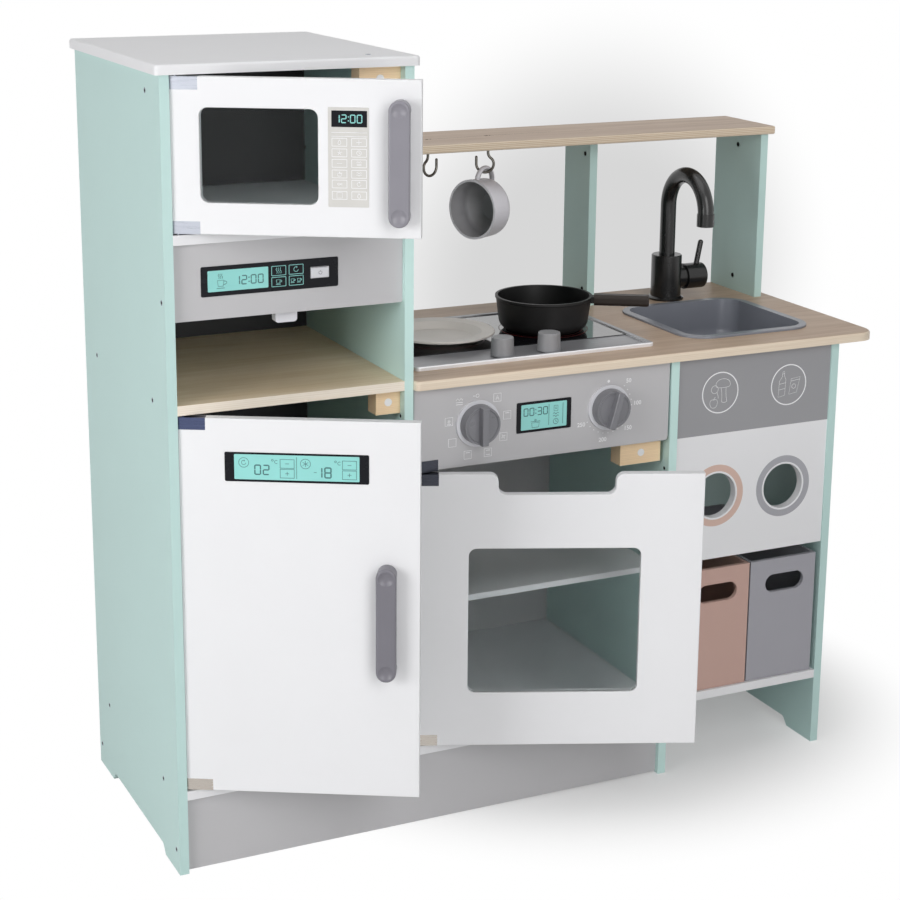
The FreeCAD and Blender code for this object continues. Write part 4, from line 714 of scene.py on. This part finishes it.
def loop(*points):
    """A closed line with corners."""
    return list(points), True, False


def curve(*points):
    """A soft line."""
    return list(points), False, True


def blob(*points):
    """A closed soft line."""
    return list(points), True, True


def arc(x, y, radius, start=0, end=360):
    """Part of a circle from one angle to another, or all of it."""
    whole = end - start >= 360
    steps = 24 if whole else 12
    angles = [math.radians(start + (end - start) * i / steps) for i in range(steps if whole else steps + 1)]
    return [(x + radius * math.cos(a), y + radius * math.sin(a)) for a in angles], whole, False


def star(inner, outer, rays, start=0.0):
    """Short lines that point away from a middle."""
    angles = [start + 2 * math.pi * i / rays for i in range(rays)]
    return [line((inner * math.cos(a), inner * math.sin(a)), (outer * math.cos(a), outer * math.sin(a)))
            for a in angles]


BOX = loop((-1, -1), (1, -1), (1, 1), (-1, 1))
SIGNS = {
    "box": [BOX],
    "rest": [arc(0.45, 0, 0.5), line((-1, 0), (-0.3, 0))],
    "minus": [line((-1, 0), (1, 0))],
    "plus": [line((-1, 0), (1, 0)), line((0, -1), (0, 1))],
    "steam": [curve((x, -0.9), (x + 0.35, -0.3), (x - 0.35, 0.3), (x, 0.9)) for x in (-0.65, 0, 0.65)],
    "cup": [loop((-0.8, 0.6), (0.45, 0.6), (0.3, -0.5), (-0.65, -0.5)),
            curve((0.42, 0.45), (1.05, 0.4), (0.9, -0.2), (0.34, -0.2)), line((-0.95, -0.85), (0.6, -0.85))],
    "turn": [arc(0, 0, 0.75, 60, 350), line((0.1, 0.95), (0.42, 0.62), (0.05, 0.4))],
    "drop": [blob((0, 1), (0.4, 0.2), (0.65, -0.4), (0.3, -0.9), (-0.3, -0.9), (-0.65, -0.4), (-0.4, 0.2))],
    "fan": [arc(0, 0, 0.25), *star(0.25, 0.9, 5, 0.3)],
    "frost": star(0, 0.9, 6, math.pi / 2),
    "grill": [line((-0.9, 0.3), (-0.45, 0.8), (0, 0.3), (0.45, 0.8), (0.9, 0.3)),
              line((-0.9, -0.2), (0.9, -0.2)), line((-0.9, -0.7), (0.9, -0.7))],
    "auto": [BOX, line((-0.4, -0.55), (0, 0.55), (0.4, -0.55)), line((-0.25, -0.15), (0.25, -0.15))],
    "above": [BOX, line((-0.55, 0.55), (0.55, 0.55))],
    "both": [BOX, line((-0.55, 0.55), (0.55, 0.55)), line((-0.55, -0.55), (0.55, -0.55))],
    "air": [BOX, arc(0, 0, 0.2), *star(0.2, 0.6, 4, 0.6)],
    "thaw": [BOX, *star(0, 0.45, 6), line((-0.55, -0.7), (0.55, -0.7))],
    "pot": [loop((-0.8, 0.1), (0.8, 0.1), (0.65, -0.8), (-0.65, -0.8)), line((-1, 0.35), (1, 0.35)),
            arc(0, 0.6, 0.16)],
    "clock": [arc(0, 0, 0.85), line((0, 0.5), (0, 0), (0.4, -0.2))],
    "flame": [blob((0, 1), (0.5, 0.3), (0.6, -0.5), (0, -0.95), (-0.6, -0.5), (-0.35, 0.2))],
    "fish": [blob((-0.9, 0), (-0.3, 0.5), (0.5, 0), (-0.3, -0.5)),
             line((0.4, 0), (0.95, 0.45), (0.95, -0.45), (0.4, 0))],
    "wave": [curve((-0.95, y), (-0.5, y + 0.4), (0, y - 0.4), (0.5, y + 0.4), (0.95, y))
             for y in (-0.4, 0.4)],
    "power": [arc(0, 0, 0.75, 125, 415), line((0, 0.2), (0, 1))],
    "page": [loop((-0.7, -0.9), (0.7, -0.9), (0.7, 0.9), (-0.7, 0.9)), line((-0.35, 0.3), (0.35, 0.3)),
             line((-0.35, -0.2), (0.35, -0.2))],
}
GREENS = [
    blob((-8, 8), (-7, 15), (-1, 19), (8, 19), (15, 15), (16, 8), (10, 6.5), (-1, 6.5)),
    curve((1, 7), (3.5, -4), (2.5, -13)), curve((9, 7), (8.5, -4), (11, -13)),
    curve((2.5, -13), (6.5, -16), (11, -13)),
    arc(-9, 5, 5.5), curve((-6, 1), (-3, -3), (-3, -8)),
    blob((-10, -9), (-5, -9), (-3.5, -14), (-6, -20), (-10, -21), (-14, -20), (-16.5, -14), (-15, -9)),
    curve((-10, -10), (-9.5, -7), (-7.5, -5.5)),
]
EMPTIES = [
    loop((-10.5, 19), (-7.5, 19.5), (-7.5, 13), (-5, 8), (-6, -14.5), (-16.5, -16.5), (-15.5, 6), (-11, 12)),
    line((-11, 16), (-7.5, 16.5)), line((-15.6, 2), (-5.4, 3.2)), line((-16, -6), (-5.6, -5)),
    loop((4, 8), (18.5, 9.5), (13.5, -12), (0.8, -13.8)), line((3.4, 4.6), (17.8, 6.2)), arc(8.5, -3, 3.2),
]


def sign(name, centre, size):
    """The lines of a sign at a place, in millimetres; size is half its width."""
    lines = SIGNS[name] if isinstance(name, str) else name
    return [([(centre[0] + x * size, centre[1] + y * size) for x, y in points], closed, soft)
            for points, closed, soft in lines]


def display(name, frame_box, screen_box, place, body, sizes, hole=None):
    """Lay a display's painted-glow screen and its black frame, holed if asked; the screen's height is returned."""
    thick, glass, black = sizes.frame / MM, sizes.screen / MM, FINISHES["bezel black"]
    rim = plate(frame_box, 0, thick, black, corner=sizes.corner / MM)
    lit = plate(screen_box, thick, glass, FINISHES["lit screen"], corner=1.2)
    lay([soften(lit, SCREEN_EDGE)], name + "_screen", place, body)
    if hole:
        cut(rim, plate(hole, -1, 3, black, corner=1))
    lay([soften(rim, FRAME_EDGE)], name + "_bezel", place, body)
    return thick + glass


class KITCHEN_OT_coffee_display(bpy.types.Operator):
    """Lay the coffee maker's display, its keys and the sign of its button on"""

    bl_idname = "kitchen.coffee_display"
    bl_label = "Coffee display"

    def execute(self, context):
        s = context.scene.kitchen_sizes
        face, ink, lit = front(COFFEE_SETBACK), FINISHES["screen ink"], FINISHES["lit line"]
        top = display("coffee", (46.6, 220.7, 736.6, 772.9), (55, 130.8, 742.1, 767.6), face, "cabinet", s,
                      hole=(184.5, 208.9, 748.3, 762.7))
        width = s.line / MM
        marks = sign("cup", (72.2, 751.6), 6.5) + sign("steam", (70.8, 760.4), 3.2)
        lay([draw(marks, width, top, ink), *figures("12:00", 11.5, 88.5, 754, top, ink)],
            "coffee_signs", face, "cabinet")
        level = s.frame / MM
        key = plate((0, 18.7, 0, 12), level, s.film / MM, lit, corner=1, line=width)
        places = [(x, z) for z in (755.4, 741.9) for x in (134.8, 157)]
        marks = []
        for (x, z), name in zip(places, ("steam", "turn", "cup", "cups")):
            if name == "cups":
                marks += sign("cup", (x + 5.2, z + 6.2), 3.1) + sign("cup", (x + 13.4, z + 6.2), 3.1)
            else:
                marks += sign(name, (x + 9.3, z + 6.1), 3.9)
        lay([draw(marks, width, level, lit), *copies(key, places)], "coffee_keys", face, "cabinet")
        lay([draw(sign("power", (196.7, 755.5), 2.8), width, 0, FINISHES["grey plastic"])],
            "coffee_button_sign", front(BUTTON_SETBACK), "coffee_button")
        return {"FINISHED"}


class KITCHEN_OT_microwave_keypad(bpy.types.Operator):
    """Lay the keypad and the clock on the microwave door"""

    bl_idname = "kitchen.microwave_keypad"
    bl_label = "Microwave keypad"

    def execute(self, context):
        s = context.scene.kitchen_sizes
        face, white = door("microwave_hinge"), FINISHES["white print"]
        thick, film = s.frame / MM, s.film / MM
        pad = plate((182.7, 229.6, 851.5, 966), 0, thick, FINISHES["keypad"], corner=0.8)
        lay([soften(pad, FRAME_EDGE)], "microwave_keypad", face, "microwave_door")
        clock = plate((186.7, 227.6, 943.6, 962.3), thick, s.screen / MM, FINISHES["bezel black"], corner=0.6)
        lay([soften(clock, SCREEN_EDGE)], "microwave_clock", face, "microwave_door")
        top = thick + s.screen / MM
        lay(figures("12:00", 10, 190.6, 953, top, FINISHES["lit line"]), "microwave_clock_figures", face,
            "microwave_door")
        places = [(x, z) for z in (926.2, 914.1, 902, 889.8, 878.2, 865.1) for x in (195.8, 218.3)]
        key = plate((-8.8, 8.8, -4.8, 4.8), thick, film, white, corner=0.5, line=0.6)
        names = ("flame", "plus", "fan", "clock", "minus", "grill", "pot", "wave", "fish", "turn", "box",
                 "drop")
        marks = [line((186.7, 937.4), (227.6, 937.4)), line((186.7, 932.9), (227.6, 932.9))]
        for place, name in zip(places, names):
            marks += sign(name, place, 3.1)
        lay([draw(marks, 0.7, thick, white), *copies(key, places)], "microwave_keys", face, "microwave_door")
        return {"FINISHED"}


class KITCHEN_OT_fridge_display(bpy.types.Operator):
    """Lay the display on the fridge door"""

    bl_idname = "kitchen.fridge_display"
    bl_label = "Fridge display"

    def execute(self, context):
        s = context.scene.kitchen_sizes
        face, ink = door("fridge_hinge"), FINISHES["screen ink"]
        top = display("fridge", (55.6, 228.6, 517.5, 554), (67.1, 217.1, 520.4, 551.6), face,
                      "fridge_door", s)
        key = plate((0, 17.4, 0, 11.4), top, s.film / MM, ink, line=0.6)
        places = [(x, z) for x in (122, 196.5) for z in (535.2, 523)]
        marks = [arc(78.6, 541.4, 6), arc(152.6, 541.4, 6), line((142, 522.5), (142, 549.5)),
                 line((162.6, 531), (165.9, 531))]
        marks += sign("turn", (78.6, 541.4), 3.6) + sign("frost", (152.6, 541.4), 4.2)
        for x in (113.1, 188.6):
            marks += [arc(x, 545, 1.1), arc(x + 4.6, 543, 2, 50, 310)]
        for (x, z), name in zip(places, ("minus", "plus") * 2):
            marks += sign(name, (x + 8.7, z + 5.7), 2.3)
        lay([draw(marks, 0.65, top, ink), *copies(key, places), *figures("02", 13, 91.9, 532.8, top, ink),
             *figures("18", 14, 164.9, 531, top, ink)], "fridge_signs", face, "fridge_door")
        return {"FINISHED"}


class KITCHEN_OT_oven_display(bpy.types.Operator):
    """Lay the oven's display on its control panel"""

    bl_idname = "kitchen.oven_display"
    bl_label = "Oven display"

    def execute(self, context):
        s = context.scene.kitchen_sizes
        face, ink = front(CONTROL_SETBACK), FINISHES["screen ink"]
        top = display("oven", (465, 545, 522, 563), (471.5, 538.3, 525.5, 559.5), face, "cabinet", s)
        marks = [line((512, 529), (512, 557)), line((532.6, 529), (532.6, 557))]
        for name, centre, size in (("pot", (492.5, 533.5), 7), ("page", (522.3, 550.6), 4),
                                   ("wave", (522.3, 541.8), 4.4), ("clock", (522.3, 533), 4.2)):
            marks += sign(name, centre, size)
        lay([draw(marks, 0.75, top, ink), *figures("00:30", 11, 475.6, 549.3, top, ink)], "oven_signs", face,
            "cabinet")
        return {"FINISHED"}


class KITCHEN_OT_dial_prints(bpy.types.Operator):
    """Print the mode signs and the temperature scale round the oven knobs"""

    bl_idname = "kitchen.dial_prints"
    bl_label = "Dial prints"

    def execute(self, context):
        s = context.scene.kitchen_sizes
        face, white, film = front(CONTROL_SETBACK), FINISHES["white print"], s.film / MM

        def around(centre, angle, radius):
            """A place round a knob: an angle from the top, in degrees, and a distance."""
            turn = math.radians(angle)
            return centre[0] + radius * math.sin(turn), centre[1] + radius * math.cos(turn)

        mode, heat = (410.3, 541.7), (600.5, 543.2)
        marks = sign("rest", (406.9, 579.2), 4.4)
        for step, name in enumerate(("auto", "above", "air", "both", "above", "box", "thaw", "grill")):
            marks += sign(name, around(mode, 40 * (step + 1), s.icon_orbit / MM), s.icon / MM / 2)
        lay([draw(marks, s.bold / MM, 0, white)], "mode_signs", face, "cabinet")
        orbit = s.scale_orbit / MM
        dot = disc((0, 0), 0.75, 0, film, white, sides=16)
        scale = copies(dot, [around(heat, 42 + 12.4 * i, orbit) for i in range(17)])
        scale.append(disc(around(heat, 0, orbit - 0.6), 1.9, 0, film, white, sides=24))
        for text, angle in (("50", 43), ("100", 89), ("150", 136), ("200", 189), ("250", 243)):
            scale.append(word(text, 8, around(heat, angle, s.number_orbit / MM), 0, film, white))
        lay(scale, "temperature_scale", face, "cabinet")
        return {"FINISHED"}


class KITCHEN_OT_waste_prints(bpy.types.Operator):
    """Print the rings and the round signs on the waste board"""

    bl_idname = "kitchen.waste_prints"
    bl_label = "Waste prints"

    def execute(self, context):
        s = context.scene.kitchen_sizes
        face, white, film = front(CONTROL_SETBACK), FINISHES["white print"], s.film / MM
        band = (s.ring - s.ring_inside) / MM
        for name, x, tint, slot in (("pink_ring", 774.5, "ring pink", "pink_paint"),
                                    ("grey_ring", 884.5, "ring grey", "bin_grey_paint")):
            ring = disc((x, 398), s.ring / MM, 0, film, FINISHES[tint], line=band)
            lay([ring], name, face, "cabinet")
        for name, centre, art in (("greens_sign", (774.9, 544), GREENS),
                                  ("empties_sign", (885.9, 543.5), EMPTIES)):
            circle = disc(centre, s.sign / MM, 0, film, white, line=1.6)
            lay([circle, draw(sign(art, centre, 1), 0.55, 0, white)], name, face, "cabinet")
        return {"FINISHED"}


class KITCHEN_OT_hob_prints(bpy.types.Operator):
    """Print the heating rings on the hob glass"""

    bl_idname = "kitchen.hob_prints"
    bl_label = "Hob prints"

    def execute(self, context):
        s = context.scene.kitchen_sizes
        red, radius = FINISHES["ember print"], s.burner / MM
        rings = [disc((x, 178.7), r, 0, s.film / MM / 2, red, line=w)
                 for x in (437.3, 595.8) for r, w in ((radius, 1.6), (radius - 8, 0.8))]
        lay(rings, "hob_rings", flat(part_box("hob_glass")[1].z / MM), "cabinet")
        return {"FINISHED"}


class KITCHEN_OT_fittings(bpy.types.Operator):
    """Add painted shade in screw sockets and empty holes, a screw's head, and the upper shelf's hook tips and
    split
    """

    bl_idname = "kitchen.fittings"
    bl_label = "Small fittings"

    def execute(self, context):
        s = context.scene.kitchen_sizes
        dark, film = FINISHES["hole shadow"], s.film / MM
        # Dark hexagons and discs of painted shade fill the screw sockets and the empty screw holes.
        left = ((61, 603), (308, 603), (13, 733), (61, 106), (308, 106), (13, 30), (353, 30), (56, 977))
        right = ((61, 106), (308, 106), (8, 350), (8, 560))
        for name, places, x, way in (("left_sockets", left, 0, -1), ("right_sockets", right, 966, 1)):
            hexagon = disc((0, 0), 2.3, 0, film, dark, sides=6)
            lay(copies(hexagon, [(way * y, z) for y, z in places]), name, side(x, way), "cabinet")
        for name, places, x, radius in (("divider_hole", ((11, 444.6),), 696, 2.4),
                                        ("tall_panel_holes", ((12.5, 561.3), (334.8, 859)), 306.5, 2.4),
                                        ("middle_upright_holes", ((308, 631.5), (308, 831)), 728.5, 3.2),
                                        ("right_upright_holes", ((308, 631.5), (308, 831)), 990, 3.2)):
            hole = disc((0, 0), radius, 0, film, dark, sides=24)
            lay(copies(hole, [(-y, z) for y, z in places]), name, side(x, -1), "cabinet")
        x, y = 269.8, 27.7
        head = disc((x, y), 3.4, 0, 0.35, FINISHES["plain steel"], sides=32)
        # The cross on the screw's head is painted shade in its recess.
        cross = draw([line((x - 2, y), (x + 2, y)), line((x, y - 2), (x, y + 2))], 0.9, 0.36, dark)
        lay([soften(head, 0.12), cross], "top_screw", flat(TOP_LEVEL), "cabinet")
        tips = [line((470.5, 298.4), (474.6, 298.6)), line((477, 298.8), (478.4, 298.9)),
                line((563.5, 302.4), (568.2, 302.7)), line((570.6, 302.9), (572, 303))]
        split = [curve((440, 297), (500, 300.5), (560, 302.3), (620, 305.2), (671, 308)),
                 curve((727, 307), (733, 307.6), (739, 307.2))]
        lay([draw(tips, 2.2, 0, dark), draw(split, 0.5, 0, FINISHES["pan grip"])], "hook_tips",
            flat(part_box("upper_shelf")[1].z / MM), "cabinet")
        return {"FINISHED"}


# Stage, in metres; a lamp's place, what it aims at and its width and height.
FLOOR_SIDE, FLOOR_LEVEL = 14, -0.0004
WALL_PLACE, WALL_SIZE = (0.3, 1.1, 1.4), (5, 2.8)
LAMPS = {
    "key": ((-0.1, -2.7, 1.6), (0.1, 0, 0.5), (1.3, 2.4)),
    "side": ((-2.6, -0.95, 1.1), (-0.3, 0, 0.55), (1.3, 1.3)),
    "top": ((-0.4, -0.3, 3.0), (0, 0, 0.4), (2.2, 2.2)),
}
WHITE = (1, 1, 1, 1)


def blank(owner):
    """The empty node tree of a material or a world."""
    owner.use_nodes = True
    owner.node_tree.nodes.clear()
    return owner.node_tree


def mix_to(tree, end, factor, first, second):
    """End a tree with one shader led over to another."""
    mix = node(tree, "ShaderNodeMixShader", {0: factor, 1: first.outputs[0], 2: second.outputs[0]})
    node(tree, end, {"Surface": mix.outputs[0]})


class KITCHEN_OT_stage(bpy.types.Operator):
    """Set up the floor, the backdrop, the lamps and the camera"""

    bl_idname = "kitchen.stage"
    bl_label = "Stage"

    def execute(self, context):
        s = context.scene.kitchen_stage
        clear()
        bpy.ops.mesh.primitive_plane_add(size=FLOOR_SIDE, location=(0, 0, FLOOR_LEVEL))
        floor = context.object
        floor.name = "stage_floor"
        settle()
        paint(floor, self.floor_finish())
        bpy.ops.mesh.primitive_plane_add(size=1, location=WALL_PLACE, rotation=(math.pi / 2, 0, 0))
        wall = context.object
        wall.name = "stage_backdrop"
        wall.scale = (*WALL_SIZE, 1)
        settle()
        paint(wall, self.wall_finish())
        for name, (place, aim, size) in LAMPS.items():
            bpy.ops.object.light_add(type="AREA", location=place)
            lamp = context.object
            lamp.name = "lamp_" + name
            lamp.data.energy = getattr(s, name)
            lamp.data.shape = "RECTANGLE"
            lamp.data.size, lamp.data.size_y = size
            lamp.rotation_euler = (Vector(aim) - Vector(place)).to_track_quat("-Z", "Y").to_euler()
        self.sky(context.scene, s.sky)
        bpy.ops.object.camera_add(location=s.eye, rotation=s.turn)
        camera = context.object
        camera.data.lens = s.lens
        camera.data.sensor_width = 36
        camera.data.shift_x, camera.data.shift_y = s.shift
        context.scene.camera = camera
        context.scene.view_settings.view_transform = "Standard"
        return {"FINISHED"}

    def seen(self, tree):
        """One where a surface is seen straight, in a reflection or through a pane, not by scattered light."""
        path = node(tree, "ShaderNodeLightPath")
        seen = sum_of(tree, "MAXIMUM", path.outputs["Is Camera Ray"], path.outputs["Is Glossy Ray"])
        seen = sum_of(tree, "MAXIMUM", seen, path.outputs["Is Transmission Ray"])
        return sum_of(tree, "MULTIPLY", seen, sum_of(tree, "LESS_THAN", path.outputs["Diffuse Depth"], 0.5))

    def distance(self, tree, middle, reach, start, end):
        """A soft edge round a middle: nought inside, one outside."""
        scaled = vector(tree, "DIVIDE", vector(tree, "SUBTRACT", spot(tree), middle), reach)
        far = vector(tree, "LENGTH", scaled, output="Value")
        return node(tree, "ShaderNodeMapRange", {"Value": far, "From Min": start, "From Max": end},
                    interpolation_type="SMOOTHSTEP").outputs["Result"]

    def floor_finish(self):
        """A pale floor that keeps the shadow near the kitchen and fades to white."""
        material = bpy.data.materials.new("stage floor")
        tree = blank(material)
        pale = node(tree, "ShaderNodeBsdfDiffuse", {"Color": (0.8, 0.8, 0.8, 1)})
        white = node(tree, "ShaderNodeEmission", {"Color": WHITE, "Strength": 1.0})
        edge = span(tree, self.distance(tree, (0.2, 0.15, 0), (0.48, 0.45, 1), 0.55, 1.15), 0.25, 1, 0, 1)
        shown = sum_of(tree, "MULTIPLY", edge, self.seen(tree))
        mix_to(tree, "ShaderNodeOutputMaterial", shown, pale, white)
        return material

    def wall_finish(self):
        """A backdrop with painted shade, grey behind the shelf and white further out, and clear from behind."""
        material = bpy.data.materials.new("stage backdrop")
        tree = blank(material)
        # Painted shade: the backdrop is grey behind the shelf and fades to white outwards.
        edge = self.distance(tree, (0.75, 1.1, 0.4), (0.5, 1, 0.5), 0.5, 1.2)
        glow = node(tree, "ShaderNodeEmission", {"Color": blend(tree, edge, (0.68, 0.68, 0.68, 1), WHITE)})
        hidden = node(tree, "ShaderNodeBsdfTransparent")
        back = node(tree, "ShaderNodeNewGeometry").outputs["Backfacing"]
        shown = sum_of(tree, "MULTIPLY", self.seen(tree), sum_of(tree, "SUBTRACT", 1.0, back))
        mix_to(tree, "ShaderNodeOutputMaterial", shown, hidden, glow)
        return material

    def sky(self, scene, strength):
        """Even light from all round, seen as white."""
        scene.world = bpy.data.worlds.new("stage sky")
        tree = blank(scene.world)
        even = node(tree, "ShaderNodeBackground", {"Color": WHITE, "Strength": strength})
        white = node(tree, "ShaderNodeBackground", {"Color": WHITE, "Strength": 1.0})
        mix_to(tree, "ShaderNodeOutputWorld", self.seen(tree), even, white)


class KITCHEN_PT_panel(bpy.types.Panel):
    """Lists the kitchen's pieces and the stage"""

    bl_idname = "KITCHEN_PT_panel"
    bl_label = "Toy kitchen"
    bl_space_type = "VIEW_3D"
    bl_region_type = "UI"
    bl_category = "Kitchen"

    def draw(self, context):
        for step in STEPS:
            self.layout.operator(step.bl_idname)
        for place, group in GROUPS.items():
            box = self.layout.box()
            box.label(text=group.__doc__)
            for name in group.__annotations__:
                box.prop(getattr(context.scene, place), name)


GROUPS = {"kitchen_colours": KitchenColours, "kitchen_sizes": KitchenSizes, "kitchen_stage": KitchenStage}
STEPS = (KITCHEN_OT_finishes, KITCHEN_OT_coffee_display, KITCHEN_OT_microwave_keypad,
         KITCHEN_OT_fridge_display, KITCHEN_OT_oven_display, KITCHEN_OT_dial_prints, KITCHEN_OT_waste_prints,
         KITCHEN_OT_hob_prints, KITCHEN_OT_fittings, KITCHEN_OT_stage)


def register():
    """Make the settings, the operators and the panel known."""
    for kind in (*GROUPS.values(), *STEPS, KITCHEN_PT_panel):
        bpy.utils.register_class(kind)
    for name, kind in GROUPS.items():
        setattr(bpy.types.Scene, name, bpy.props.PointerProperty(type=kind))


def unregister():
    """Take them away again."""
    for name in GROUPS:
        delattr(bpy.types.Scene, name)
    for kind in (KITCHEN_PT_panel, *reversed(STEPS), *reversed(list(GROUPS.values()))):
        bpy.utils.unregister_class(kind)


def main():
    """Dress the kitchen and set the stage."""
    register()
    bpy.ops.kitchen.finishes()
    bpy.ops.kitchen.coffee_display()
    bpy.ops.kitchen.microwave_keypad()
    bpy.ops.kitchen.fridge_display()
    bpy.ops.kitchen.oven_display()
    bpy.ops.kitchen.dial_prints()
    bpy.ops.kitchen.waste_prints()
    bpy.ops.kitchen.hob_prints()
    bpy.ops.kitchen.fittings()
    bpy.ops.kitchen.stage()


if __name__ == "__main__":
    main()
